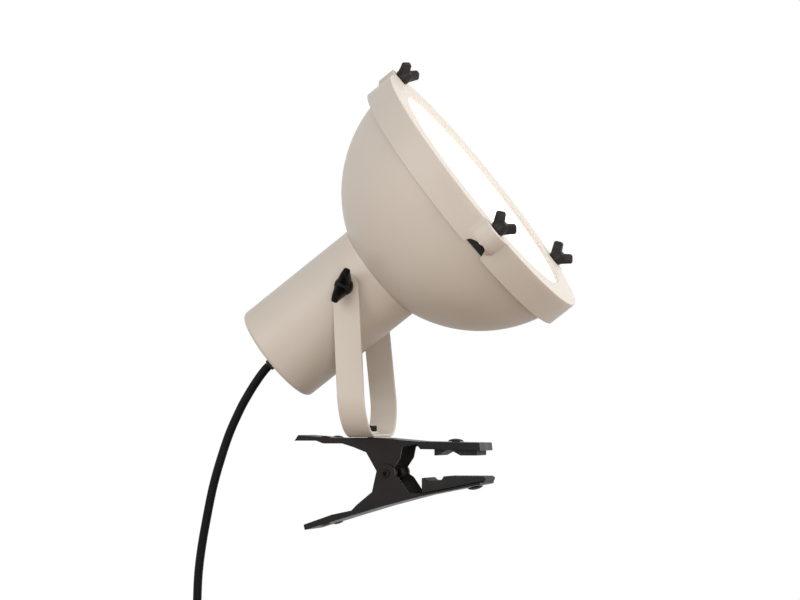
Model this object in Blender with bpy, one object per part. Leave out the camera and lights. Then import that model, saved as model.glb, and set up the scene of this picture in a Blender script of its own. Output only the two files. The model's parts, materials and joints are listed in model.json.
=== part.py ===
"""Clip-on reading lamp: a round spot head in a flat-strap yoke on a sprung steel clip.

Metres, +Z up, +X towards the jaw. The origin is on the upper pad's gripping face.
The head is drawn about its own axis: Z runs forwards through the ring, -X is its upper side.
"""

import math

import bmesh
import bpy
from mathutils import Matrix, Vector

MM = 0.001
GAP = 0.3 * MM  # left between pieces that touch
BORE_PLAY = 0.3 * MM  # radial play of a shank in its hole
PAST = 1.0 * MM  # how far cutters run past the faces they open
CROWN = 0.8  # radius of a head's crown, as a part of the head's
WELD = 0.002 * MM  # points closer than this are one point

# Clip, upper half: heights above the gripping face, lengths along X.
SHEET = 1.2 * MM
UPPER_HALF_WIDTH = 17.5 * MM
SEAT_HEIGHT = 9.8 * MM
SEAT_FRONT = -51.0 * MM
SEAT_REAR = -78.5 * MM
UPPER_REAR = -97.2 * MM
UPPER_REAR_RISE = 1.55 * MM
UPPER_JAW_START = -29.0 * MM
UPPER_JAW_FALL = 1.95 * MM
UPPER_FRONT = 7.0 * MM
UPPER_TIP_FALL = 0.7 * MM
UPPER_LIP = 4.5 * MM
HANDLE_FLANGE = 3.2 * MM
JAW_FLANGE = 4.1 * MM
END_WALL = 0.9 * MM  # folded edge at the plate's two ends

# Lower edge of the upper half: places ahead of or behind the pin, drops below the seat.
SHOULDER_DROP = 5.2 * MM
SHOULDER_FRONT = 9.3 * MM
SHOULDER_REAR = 19.0 * MM
CHEEK_FRONT = 8.1 * MM
CHEEK_FRONT_RISE = 8.6 * MM  # above the pin
CHEEK_REAR = 11.5 * MM
CHEEK_REAR_DROP = 8.1 * MM
CHEEK_RUN = 25.3 * MM
GRIP_START = 14.5 * MM  # ahead of the plate's rear edge
GRIP_DEEPENS = 10.5 * MM
JAW_SLANT = 2.3 * MM
TIP_SLANT = 1.9 * MM
REAR_SLANT = 2.2 * MM

# Clip pin and the cheeks around it.
PIN_X = -46.3 * MM
PIN_Z = -10.05 * MM
PIN_RADIUS = 1.6 * MM
PIN_HEAD_RADIUS = 2.3 * MM
PIN_HEAD_HEIGHT = 1.1 * MM
CHEEK_ROUND = 5.4 * MM

# Clip, lower half.
LOWER_REAR_X = -93.0 * MM
LOWER_REAR_Z = -41.95 * MM
LOWER_BEND_X = -50.0 * MM
LOWER_BEND_Z = -28.95 * MM
LOWER_FRONT_X = 7.8 * MM
LOWER_FRONT_Z = -15.99 * MM
LOWER_JAW_X = -26.0 * MM
LOWER_JAW_Z = -22.65 * MM
LOWER_FLANGE = 3.0 * MM
SLOPED_SHEET = SHEET * 1.03  # the lower plate's thickness measured straight up
LOWER_CHEEK_FRONT = 13.2 * MM
LOWER_CHEEK_FRONT_RISE = 2.0 * MM  # above the plate's jaw end
LOWER_CHEEK_WAIST = 7.7 * MM
LOWER_CHEEK_WAIST_DROP = 2.5 * MM
LOWER_CHEEK_REAR = 8.0 * MM
LOWER_CHEEK_REAR_RISE = 7.7 * MM  # above the plate's bend
LOWER_FLANGE_START = 16.1 * MM  # behind the plate's bend
LOWER_GRIP = 15.7 * MM  # ahead of the plate's rear edge
LOWER_GRIP_RISE = 1.0 * MM
LOWER_REAR_SLANT = 0.7 * MM
LOWER_END_WALL = 0.8 * MM
NOTCH_TOP = 3.0 * MM  # above the plate's front edge
NOTCH_X = (-17.0 * MM, -8.5 * MM)
NOTCH_DEPTH = 2.0 * MM

# Thumb pips on both handles.
PIP_X = -81.9 * MM
PIP_Y = 14.0 * MM
PIP_RADIUS = 3.1 * MM
PIP_HEIGHT = 0.9 * MM
PIP_DOME = (1.0, 0.85, 0.5, 0.0)  # rings of the dome, as parts of its radius

# Rubber pads.
PAD_HALF_WIDTH = 13.4 * MM
UPPER_PAD_REAR = -19.5 * MM
UPPER_PAD_FOOT = 9.2 * MM  # length of the flat gripping face
UPPER_PAD_HEEL = 1.6 * MM
UPPER_GROOVE_DEPTH = 3.6 * MM
JAW_GAP = 11.55 * MM
LOWER_PAD_REAR = -26.8 * MM
LOWER_PAD_TIP = 9.9 * MM
LOWER_PAD_TIP_HEIGHT = 2.6 * MM
LOWER_PAD_STEP = 1.0 * MM
LOWER_PAD_BEVEL = 1.6 * MM
LOWER_NOTCH_X = (-25.0 * MM, -14.1 * MM)
LOWER_NOTCH_DEPTH = 2.5 * MM
LOWER_NOTCH_SLOPE = 1.8 * MM
UPPER_STEM_X = -10.0 * MM
LOWER_STEM_X = 1.0 * MM
STEM_RADIUS = 2.2 * MM
STEM_END = 1.0 * MM
DOME_RADIUS = 4.5 * MM
DOME_HEIGHT = 1.6 * MM
DOME_SHOULDER = 0.86

# Torsion spring on the pin: two coils joined by a bridge under the upper handle.
WIRE_RADIUS = 0.9 * MM
COIL_RADIUS = 3.5 * MM
COIL_TURNS = 3
SPRING_LEG_Y = 15.0 * MM
SPRING_REACH = 22.0 * MM
SPRING_BEND = 2.5 * MM
SPRING_CORNER = 0.3  # of the bend, where the wire is nearest its corner
FOOT_CLEARANCE = 1.1  # wire radii from the sloped sheet to a leg's end

# Yoke: strap bent to a U, its pivot above the clip's seat.
STRAP_WIDTH = 15.5 * MM
STRAP = 2.0 * MM
YOKE_HEIGHT = 84.15 * MM
YOKE_RAKE = math.radians(4.3)
YOKE_BEND = 19.3 * MM
YOKE_SPREAD = 13.8 * MM  # from the base's flat to the legs' inner faces
LEG_STRAIGHT = 12.0 * MM
LEG_PLAY = 1.95 * MM  # from the tail to each leg
SWIVEL_X = -59.7 * MM
SWIVEL_RADIUS = 2.0 * MM
NUT_FLATS = 7.0 * MM
NUT_HEIGHT = 3.2 * MM
BASE_WASHER_RADIUS = 5.0 * MM
WASHER = 0.7 * MM
SCREW_HEAD_RADIUS = 4.0 * MM
SCREW_HEAD_HEIGHT = 2.2 * MM
SCREW_END = 0.4 * MM  # past its nut

# Head: distances forwards from the tilt pivot, radii about the head's axis.
HEAD_LIFT = math.radians(37.44)
RING_RADIUS = 82.5 * MM
RING_FRONT = 91.0 * MM
RING_DEPTH = 17.0 * MM
RING_LEDGE = 16.0 * MM  # from the ring's edge in to its opening
RING_WALL = 1.5 * MM
RING_FLANGE = 2.0 * MM
RING_CHAMFER = 0.8 * MM
BOSS_ANGLES = {"top": -4.0, "near": 116.0, "far": -124.0}
BOSS_INBOARD = 4.2 * MM  # from the ring's edge in to a boss's axis
BOSS_RADIUS = 10.0 * MM
BOSS_RIDGE = 10.0 * MM
BOSS_FADE = 5.0 * MM
FADE_RISE = 0.66  # share of the boss's height that is reached ...
FADE_RUN = 0.45  # ... this share of the fade behind its ridge
MOUSE_HOLE = 5.75 * MM
STUD_OUTBOARD = 3.2 * MM  # from a boss's axis out to its stud
STUD_RADIUS = 1.75 * MM
STUD_COLLAR_RADIUS = 3.0 * MM
STUD_COLLAR = 1.8 * MM
STUD_ROOT = 2.0 * MM  # behind the bowl's ear
STUD_END = 0.5 * MM  # past its nut
BOSS_SINK = 0.1 * MM  # bosses stop this far behind the ring's face
GLASS = 3.0 * MM
GLASS_INSET = 6.5 * MM  # from the ring's edge
GASKET = 2.0 * MM
GASKET_WIDTH = 3.7 * MM
BOWL_INSET = 4.5 * MM  # from the ring's edge
BOWL_FLOOR = 14.46 * MM  # ahead of the pivot
BOWL_WALL = 1.5 * MM
BOWL_LIP = 6.0 * MM
FLOOR_INSET = 3.75 * MM  # from the tail's edge in to the bowl's bend
FLOOR_LEDGE = 6.0 * MM
EAR_INBOARD = 1.6 * MM
EAR_PLAY = 0.7 * MM  # inside its boss
EAR_INSET = 0.1 * MM  # ears are this much thinner than the rim on each side
TAIL_RADIUS = 29.75 * MM
TAIL_WALL = 2.0 * MM
TAIL_REAR = -61.75 * MM
TAIL_EDGE = 2.5 * MM
PIVOT_BOSS_RADIUS = 7.0 * MM
PIVOT_BOSS_DEPTH = 6.4 * MM
PIVOT_SCREW_RADIUS = 2.5 * MM
PIVOT_SCREW_ROOT = 0.5 * MM  # past the boss's inner end

# Lamp holder and bulb.
HOLDER_INSET = 1.6 * MM  # from the bowl's hole
HOLDER_REAR = -15.7 * MM
HOLDER_FRONT = 30.0 * MM
HOLDER_BORE_DEPTH = 20.0 * MM
BRACKET = 1.5 * MM
BRACKET_PLAY = 1.75 * MM  # from its flange to the tail's wall
BRACKET_SCREW_RADIUS = 1.5 * MM
BRACKET_SCREW_INBOARD = 2.7 * MM
BRACKET_SCREW_HEAD = 2.4 * MM
BRACKET_SCREW_HEAD_HEIGHT = 1.6 * MM
BRACKET_SCREW_END = 2.0 * MM
SCREW_ANGLE = 63.0
CAP_RADIUS = 13.2 * MM
CAP_FRONT = 33.0 * MM
CAP_TAPER = 4.0 * MM
BULB_RADIUS = 22.5 * MM
BULB_CENTRE = 57.0 * MM
BULB_NECK = 14.0 * MM

# Wing nuts and wing screws.
NUT_HUB_RADIUS = 4.5 * MM
NUT_HUB_HEIGHT = 5.5 * MM
NUT_TIP_REACH = 5.1 * MM
NUT_TIP_HEIGHT = 6.8 * MM
TIP_RADIUS = 2.8 * MM
NUT_WING = 2.6 * MM
KNOB_WING = 4.0 * MM
WING_ROOT = 1.0 * MM
WING_SADDLE = 0.6 * MM  # below the hub's top, where the ears meet
KNOB_HUB_RADIUS = 5.2 * MM
KNOB_HUB_HEIGHT = 6.0 * MM
KNOB_TIP_REACH = 7.2 * MM
KNOB_TIP_HEIGHT = 8.6 * MM
NUT_TURNS = {"top": 60.0, "near": 90.0, "far": 124.0}  # degrees from the ring's radius
KNOB_TURN = 67.0  # degrees from level
FRICTION_WASHER_RADIUS = 7.2 * MM

# Lead.
CORD_RADIUS = 2.5 * MM
GLAND_DROP = 2.0 * MM
GLAND_NECK = 4.0 * MM
GLAND_FLANGE = 6.0 * MM
GLAND_FLANGE_DEPTH = 2.0 * MM
GLAND_INSIDE = 14.0 * MM
GLAND_NOSE = 6.85 * MM
GLAND_WALL = 0.4 * MM
GLAND_FILLET = 0.5 * MM
CORE_SLACK = 4.0 * MM  # straight lead inside the gland's end
CORE_DROP = 10.0 * MM  # straight lead behind the holder
CORD_START = 0.5 * MM  # the free lead starts this far behind the gland's nose
CORD_STEP = 11.0 * MM
CORD_ROUTE = [  # (x, z) of the free lead from the gland down, after its straight start
    (-123.0, 47.0),
    (-128.0, 40.1),
    (-132.3, 33.3),
    (-136.2, 26.4),
    (-142.6, 12.7),
    (-148.0, -2.7),
    (-152.5, -18.3),
    (-156.1, -35.4),
    (-159.2, -52.6),
    (-161.1, -67.8),
    (-161.8, -83.2),
    (-161.8, -97.0),
]

# In-line switch.
SWITCH_LENGTH = 58.0 * MM
SWITCH_WIDTH = 24.0 * MM
SWITCH_DEPTH = 18.0 * MM
SWITCH_WALL = 1.6 * MM
SWITCH_EDGE = 3.0 * MM
ROCKER_LENGTH = 17.0 * MM
ROCKER_WIDTH = 9.0 * MM
ROCKER_RISE = 1.8 * MM
ROCKER_LEAN = math.radians(8.0)

# Coiled length, tie and plug.
LEAD_TO_COIL = 14.0 * MM
COIL_TURN_RADIUS = 26.5 * MM
COIL_LAYERS = 3
COIL_PITCH = 5.2 * MM
TIE_WIDTH = 8.0 * MM
TIE = 0.9 * MM
TIE_PLAY = 0.9 * MM
LEAD_TO_PLUG = 10.0 * MM
PLUG_LENGTH = 35.0 * MM
PLUG_HALF_WIDTH = 17.5 * MM
PLUG_HALF_DEPTH = 6.85 * MM
PLUG_NECK = 4.6 * MM
PLUG_SHOULDER = 14.0 * MM
PLUG_PIN_RADIUS = 2.0 * MM
PLUG_PIN_POINT = 1.0 * MM
PLUG_PIN_LENGTH = 19.0 * MM
PLUG_PIN_Y = 9.3 * MM

BLACK_STEEL = (0.03, 0.03, 0.032)
BLACK_PLASTIC = (0.02, 0.02, 0.02)
BEIGE_PAINT = (0.66, 0.63, 0.56)
OPAL = (0.9, 0.9, 0.88)
ZINC = (0.6, 0.6, 0.6)
PORCELAIN = (0.85, 0.84, 0.8)

# Sizes and places worked out from the ones above.
YOKE_UNDERSIDE = SEAT_HEIGHT + GAP
LEG_INNER_Y = TAIL_RADIUS + LEG_PLAY
YOKE_FLAT_HALF = LEG_INNER_Y - YOKE_SPREAD
PIVOT = Vector((
    SWIVEL_X - YOKE_HEIGHT * math.tan(YOKE_RAKE),
    0.0,
    YOKE_UNDERSIDE + YOKE_HEIGHT,
))
LOWER_INNER_Y = UPPER_HALF_WIDTH + GAP
LOWER_HALF_WIDTH = LOWER_INNER_Y + SHEET
RING_REAR = RING_FRONT - RING_DEPTH
GLASS_FRONT = RING_FRONT - RING_FLANGE - GAP
GASKET_FRONT = GLASS_FRONT - GLASS - GAP
BOWL_RIM = GASKET_FRONT - GASKET - GAP
NUT_SEAT = RING_FRONT + GAP
RING_OPENING = RING_RADIUS - RING_LEDGE
BOSS_CENTRE = RING_RADIUS - BOSS_INBOARD
STUD_CENTRE = BOSS_CENTRE + STUD_OUTBOARD
GLASS_RADIUS = RING_RADIUS - GLASS_INSET
BOWL_RADIUS = RING_RADIUS - BOWL_INSET
BOWL_LIP_INNER = BOWL_RADIUS - BOWL_LIP
BOWL_FLOOR_RADIUS = TAIL_RADIUS - FLOOR_INSET
BOWL_CENTRE = BOWL_FLOOR + math.sqrt(BOWL_RADIUS**2 - BOWL_FLOOR_RADIUS**2)
BOWL_HOLE = BOWL_FLOOR_RADIUS - FLOOR_LEDGE
EAR_CENTRE = BOWL_RADIUS - EAR_INBOARD
EAR_RADIUS = BOSS_RADIUS - RING_WALL - EAR_PLAY
HOLDER_RADIUS = BOWL_HOLE - HOLDER_INSET
BRACKET_FLANGE_RADIUS = TAIL_RADIUS - TAIL_WALL - BRACKET_PLAY
BRACKET_SCREW_CENTRE = BRACKET_FLANGE_RADIUS - BRACKET_SCREW_INBOARD
WASHER_INNER_Y = LEG_INNER_Y - GAP - WASHER
PIVOT_BOSS_Y = WASHER_INNER_Y - GAP
KNOB_SEAT_Y = LEG_INNER_Y + STRAP + GAP


# ---------------------------------------------------------------- shape helpers

def outward(body):
    """Turn a closed body's faces outwards."""
    bmesh.ops.recalc_face_normals(body, faces=body.faces)
    if body.calc_volume(signed=True) < 0:
        bmesh.ops.reverse_faces(body, faces=body.faces)
    return body


def arc(centre, radius, start, end, steps):
    """Points on a circle from one angle to another, in degrees, both ends included."""
    turns = [math.radians(start + (end - start) * i / steps) for i in range(steps + 1)]
    return [(centre[0] + radius * math.cos(t), centre[1] + radius * math.sin(t)) for t in turns]


def turned(profile, segments=32, ring=False):
    """Turn (radius, height) points about Z, from axis to axis or as a closed loop."""
    body = bmesh.new()
    steps = [2 * math.pi * i / segments for i in range(segments)]
    rows = []
    for radius, height in profile:
        turns = steps if radius > 0 else [0.0]
        corners = [(radius * math.cos(t), radius * math.sin(t), height) for t in turns]
        rows.append([body.verts.new(corner) for corner in corners])
    pairs = list(zip(rows, rows[1:]))
    if ring:
        pairs.append((rows[-1], rows[0]))
    for below, above in pairs:
        for i in range(segments):
            j = (i + 1) % segments
            corners = [below[i % len(below)], below[j % len(below)]]
            corners += [above[j % len(above)], above[i % len(above)]]
            body.faces.new(list(dict.fromkeys(corners)))
    return outward(body)


def along_x(u, v, w):
    return (w, u, v)


def along_y(u, v, w):
    return (u, w, v)


def along_z(u, v, w):
    return (u, v, w)


def prism(outline, start, end, direction):
    """Extrude a flat outline from start to end along one axis."""
    body = bmesh.new()
    first = [body.verts.new(direction(u, v, start)) for u, v in outline]
    last = [body.verts.new(direction(u, v, end)) for u, v in outline]
    body.faces.new(first)
    body.faces.new(last)
    for i in range(len(outline)):
        j = (i + 1) % len(outline)
        body.faces.new((first[i], first[j], last[j], last[i]))
    return outward(body)


def block(low, high):
    """A box from its lowest to its highest corner."""
    outline = [(low[0], low[1]), (high[0], low[1]), (high[0], high[1]), (low[0], high[1])]
    return prism(outline, low[2], high[2], along_z)


def rod(radius, start, end, segments=20):
    """A round bar along Z."""
    return turned([(0.0, start), (radius, start), (radius, end), (0.0, end)], segments)


def turned_to(body, axis):
    """Lay a body drawn along Z along X or Y instead."""
    rotation = Vector((0, 0, 1)).rotation_difference(Vector(axis)).to_matrix()
    bmesh.ops.rotate(body, cent=(0, 0, 0), matrix=rotation, verts=body.verts)
    return body


def moved(body, offset):
    bmesh.ops.translate(body, vec=offset, verts=body.verts)
    return body


def combined(operation, base, *tools):
    """Join the base with the tools (UNION) or cut them from it (DIFFERENCE)."""
    objects = []
    for body in (base, *tools):
        mesh = bpy.data.meshes.new("work")
        body.to_mesh(mesh)
        body.free()
        work = bpy.data.objects.new("work", mesh)
        bpy.context.scene.collection.objects.link(work)
        objects.append(work)
    for tool in objects[1:]:
        change = objects[0].modifiers.new("combine", "BOOLEAN")
        change.operation = operation
        change.solver = "EXACT"
        change.object = tool
    result = bmesh.new()
    result.from_object(objects[0], bpy.context.evaluated_depsgraph_get())
    for work in objects:
        mesh = work.data
        bpy.data.objects.remove(work)
        bpy.data.meshes.remove(mesh)
    bmesh.ops.remove_doubles(result, verts=result.verts, dist=WELD)
    bmesh.ops.dissolve_degenerate(result, edges=result.edges, dist=WELD)
    return result


def line_height(points, x):
    """Height at x of a line through (x, z) points in order of x, carried on past its ends."""
    for (x0, z0), (x1, z1) in zip(points, points[1:]):
        if x <= x1 or (x1, z1) == points[-1]:
            return z0 + (z1 - z0) * (x - x0) / (x1 - x0)
    return points[-1][1]


def smooth_route(points, step):
    """Points every step along a Catmull-Rom curve through the route."""
    ends = [2 * points[0] - points[1], *points, 2 * points[-1] - points[-2]]
    fine = []
    for before, start, end, after in zip(ends, ends[1:], ends[2:], ends[3:]):
        for i in range(16):
            t = i / 16
            bend = (2 * before - 5 * start + 4 * end - after) * t * t
            swing = (3 * start - before - 3 * end + after) * t * t * t
            fine.append((2 * start + (end - before) * t + bend + swing) / 2)
    fine.append(points[-1])
    total = sum((b - a).length for a, b in zip(fine, fine[1:]))
    count = max(2, round(total / step))
    picked = [fine[0]]
    covered = 0.0
    for a, b in zip(fine, fine[1:]):
        covered += (b - a).length
        if covered >= total * len(picked) / count and len(picked) < count:
            picked.append(b)
    return [*picked, fine[-1]]


# ---------------------------------------------------------------- objects

def material(name, colour, roughness, metallic):
    """A plain Principled material."""
    made = bpy.data.materials.new(name)
    made.use_nodes = True
    shader = made.node_tree.nodes["Principled BSDF"]
    shader.inputs["Base Color"].default_value = (*colour, 1.0)
    shader.inputs["Roughness"].default_value = roughness
    shader.inputs["Metallic"].default_value = metallic
    return made


def placed(name, data, finish, parent, location):
    thing = bpy.data.objects.new(name, data)
    bpy.context.scene.collection.objects.link(thing)
    data.materials.append(material(name, *finish))
    thing.parent = parent
    thing.location = location
    return thing


def solid(name, body, finish, parent=None, location=(0, 0, 0)):
    """Make one closed body an object with its own material."""
    mesh = bpy.data.meshes.new(name)
    body.to_mesh(mesh)
    body.free()
    mesh.shade_smooth()
    mesh.set_sharp_from_angle(angle=math.radians(30))
    return placed(name, mesh, finish, parent, location)


def tube(name, points, radius, finish, parent=None, sides=2):
    """A round wire or cord along points, with filled ends."""
    curve = bpy.data.curves.new(name, "CURVE")
    curve.dimensions = "3D"
    curve.bevel_depth = radius
    curve.bevel_resolution = sides
    curve.use_fill_caps = True
    spline = curve.splines.new("POLY")
    spline.points.add(len(points) - 1)
    for spot, point in zip(spline.points, points):
        spot.co = (*point, 1.0)
    return placed(name, curve, finish, parent, (0, 0, 0))


def empty(name, location, rotation=(0, 0, 0), parent=None):
    frame = bpy.data.objects.new(name, None)
    bpy.context.scene.collection.objects.link(frame)
    frame.location = location
    frame.rotation_euler = rotation
    frame.parent = parent
    return frame


STEEL_BLACK = (BLACK_STEEL, 0.35, 0.6)
PLASTIC_BLACK = (BLACK_PLASTIC, 0.4, 0.0)
RUBBER_BLACK = (BLACK_PLASTIC, 0.7, 0.0)
PAINT = (BEIGE_PAINT, 0.35, 0.1)
PLATED = (ZINC, 0.3, 1.0)


# ---------------------------------------------------------------- clip

def upper_top_line():
    """Top of the upper plate from rear to front."""
    jaw_start = SEAT_HEIGHT - UPPER_JAW_FALL
    return [
        (UPPER_REAR, SEAT_HEIGHT + UPPER_REAR_RISE),
        (SEAT_REAR, SEAT_HEIGHT),
        (SEAT_FRONT, SEAT_HEIGHT),
        (UPPER_JAW_START, jaw_start),
        (UPPER_FRONT, jaw_start - UPPER_TIP_FALL),
    ]


def lower_face_line():
    """Outer face of the lower plate from rear to front."""
    return [
        (LOWER_REAR_X, LOWER_REAR_Z),
        (LOWER_BEND_X, LOWER_BEND_Z),
        (LOWER_JAW_X, LOWER_JAW_Z),
        (LOWER_FRONT_X, LOWER_FRONT_Z),
    ]


def square_to(body, line, x, y=0.0):
    """Stand a body drawn about Z on a sheet's face line at x, square to it."""
    slope = (line_height(line, x + MM) - line_height(line, x)) / MM
    turned_to(body, Vector((-slope, 0, 1)).normalized())
    return moved(body, (x, y, line_height(line, x)))


def thumb_pip(line, side, direction):
    """A pressed dome on a plate's outer face: direction is 1 on top and -1 underneath."""
    profile = [(0.0, -direction * SHEET / 2), (PIP_RADIUS, -direction * SHEET / 2)]
    for part in PIP_DOME:
        rise = direction * PIP_HEIGHT * math.sqrt(1 - part**2)
        profile.append((PIP_RADIUS * part, rise))
    return square_to(turned(profile, 16), line, PIP_X, side * PIP_Y)


def pin_hole():
    hole = rod(PIN_RADIUS + BORE_PLAY, -LOWER_HALF_WIDTH - SHEET, LOWER_HALF_WIDTH + SHEET, 20)
    return moved(turned_to(hole, (0, 1, 0)), (PIN_X, 0, PIN_Z))


def clip_upper():
    """Pressed channel: plate, side flanges, and cheeks down to the pin."""
    top = upper_top_line()
    pin = (PIN_X, PIN_Z)
    handle_low = top[0][1] - HANDLE_FLANGE
    flange_low = SEAT_HEIGHT - HANDLE_FLANGE
    jaw_low = top[-1][1] - JAW_FLANGE
    outline = [
        *top,
        (UPPER_FRONT + END_WALL / 2, top[-1][1] - UPPER_LIP),
        (UPPER_FRONT - TIP_SLANT, jaw_low),
        (UPPER_JAW_START + JAW_SLANT, jaw_low + END_WALL / 2),
        (UPPER_JAW_START, top[3][1] - SHEET),
        (PIN_X + SHOULDER_FRONT, SEAT_HEIGHT - SHOULDER_DROP),
        (PIN_X + CHEEK_FRONT, PIN_Z + CHEEK_FRONT_RISE),
        *arc(pin, CHEEK_ROUND, 35, -190, 14),
        (PIN_X - CHEEK_REAR, SEAT_HEIGHT - CHEEK_REAR_DROP),
        (PIN_X - SHOULDER_REAR, SEAT_HEIGHT - SHOULDER_DROP),
        (PIN_X - CHEEK_RUN, flange_low),
        (UPPER_REAR + GRIP_START, flange_low),
        (UPPER_REAR + GRIP_DEEPENS, handle_low),
        (UPPER_REAR - REAR_SLANT, handle_low),
    ]
    body = prism(outline, -UPPER_HALF_WIDTH, UPPER_HALF_WIDTH, along_y)
    inner_y = UPPER_HALF_WIDTH - SHEET
    rear = UPPER_REAR - END_WALL
    front = UPPER_FRONT - END_WALL
    deep = PIN_Z - 3 * CHEEK_ROUND
    ceiling = [(x, z - SHEET) for x, z in top[1:-1]]
    ceiling.insert(0, (rear, line_height(top, rear) - SHEET))
    ceiling.append((front, line_height(top, front) - SHEET))
    hollow = prism([*ceiling, (front, deep), (rear, deep)], -inner_y, inner_y, along_y)
    body = combined("DIFFERENCE", body, hollow)
    pips = [thumb_pip(top, side, 1) for side in (-1, 1)]
    body = combined("UNION", body, *pips)
    swivel_hole = moved(rod(SWIVEL_RADIUS + BORE_PLAY, 0, 2 * SEAT_HEIGHT), (SWIVEL_X, 0, 0))
    stem_hole = rod(STEM_RADIUS + BORE_PLAY, -2 * SHEET, 2 * SHEET)
    square_to(stem_hole, top, UPPER_STEM_X)
    body = combined("DIFFERENCE", body, swivel_hole, stem_hole, pin_hole())
    return solid("clip_upper", body, STEEL_BLACK)


def clip_lower(parent):
    """Pressed channel whose cheeks run outside the upper half's."""
    face = lower_face_line()
    pin = (PIN_X, PIN_Z)
    inner = [(x, z + SLOPED_SHEET) for x, z in face]
    flange_x = LOWER_BEND_X - LOWER_FLANGE_START
    grip_x = LOWER_REAR_X + LOWER_GRIP
    outline = [
        *face,
        (LOWER_FRONT_X, inner[-1][1]),
        (LOWER_JAW_X, inner[2][1]),
        (PIN_X + LOWER_CHEEK_FRONT, LOWER_JAW_Z + LOWER_CHEEK_FRONT_RISE),
        (PIN_X + LOWER_CHEEK_WAIST, PIN_Z - LOWER_CHEEK_WAIST_DROP),
        *arc(pin, CHEEK_ROUND, -10, 175, 12),
        (PIN_X - LOWER_CHEEK_REAR, LOWER_BEND_Z + LOWER_CHEEK_REAR_RISE),
        (flange_x, line_height(face, flange_x) + LOWER_FLANGE),
        (grip_x, line_height(face, grip_x) + LOWER_FLANGE + LOWER_GRIP_RISE),
        (LOWER_REAR_X - LOWER_REAR_SLANT, LOWER_REAR_Z + LOWER_FLANGE),
    ]
    body = prism(outline, -LOWER_HALF_WIDTH, LOWER_HALF_WIDTH, along_y)
    rear = LOWER_REAR_X + LOWER_END_WALL
    floor = [(rear, line_height(inner, rear)), *inner[1:3]]
    past = LOWER_FRONT_X + 4 * SHEET
    floor.append((past, line_height(inner, past)))
    high = PIN_Z + 3 * CHEEK_ROUND
    hollow = prism([*floor, (past, high), (rear, high)], -LOWER_INNER_Y, LOWER_INNER_Y, along_y)
    body = combined("DIFFERENCE", body, hollow)
    pips = [thumb_pip(face, side, -1) for side in (-1, 1)]
    body = combined("UNION", body, *pips)
    stem_hole = square_to(rod(STEM_RADIUS + BORE_PLAY, -2 * SHEET, 2 * SHEET), face, LOWER_STEM_X)
    cuts = [stem_hole, pin_hole()]
    for side in (-1, 1):
        edges = sorted((side * (LOWER_HALF_WIDTH - NOTCH_DEPTH), side * (LOWER_HALF_WIDTH + PAST)))
        low = (NOTCH_X[0], edges[0], LOWER_JAW_Z - SHEET)
        high = (NOTCH_X[1], edges[1], LOWER_FRONT_Z + NOTCH_TOP)
        cuts.append(block(low, high))
    body = combined("DIFFERENCE", body, *cuts)
    moved(body, (-PIN_X, 0, -PIN_Z))
    return solid("clip_lower", body, STEEL_BLACK, parent)


def clip_pin():
    """Rivet through all four cheeks."""
    end = LOWER_HALF_WIDTH + GAP
    head = end + PIN_HEAD_HEIGHT
    profile = [
        (0.0, -head),
        (PIN_HEAD_RADIUS * CROWN, -head),
        (PIN_HEAD_RADIUS, -end - PIN_HEAD_HEIGHT / 2),
        (PIN_HEAD_RADIUS, -end),
        (PIN_RADIUS, -end),
        (PIN_RADIUS, end),
        (PIN_HEAD_RADIUS, end),
        (PIN_HEAD_RADIUS, end + PIN_HEAD_HEIGHT / 2),
        (PIN_HEAD_RADIUS * CROWN, head),
        (0.0, head),
    ]
    body = turned_to(turned(profile, 16), (0, 1, 0))
    solid("clip_pin", body, STEEL_BLACK, None, (PIN_X, 0, PIN_Z))


def spring_coil(side, start_turn):
    """Centreline of one coil, from its outer end inwards, about the pin."""
    pitch = 2 * WIRE_RADIUS + GAP
    outer = SPRING_LEG_Y - pitch
    steps = 12 * COIL_TURNS
    points = []
    for i in range(steps + 1):
        turn = start_turn + 2 * math.pi * COIL_TURNS * i / steps
        y = side * (outer - pitch * COIL_TURNS * i / steps)
        points.append(Vector((COIL_RADIUS * math.cos(turn), y, COIL_RADIUS * math.sin(turn))))
    return points


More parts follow.
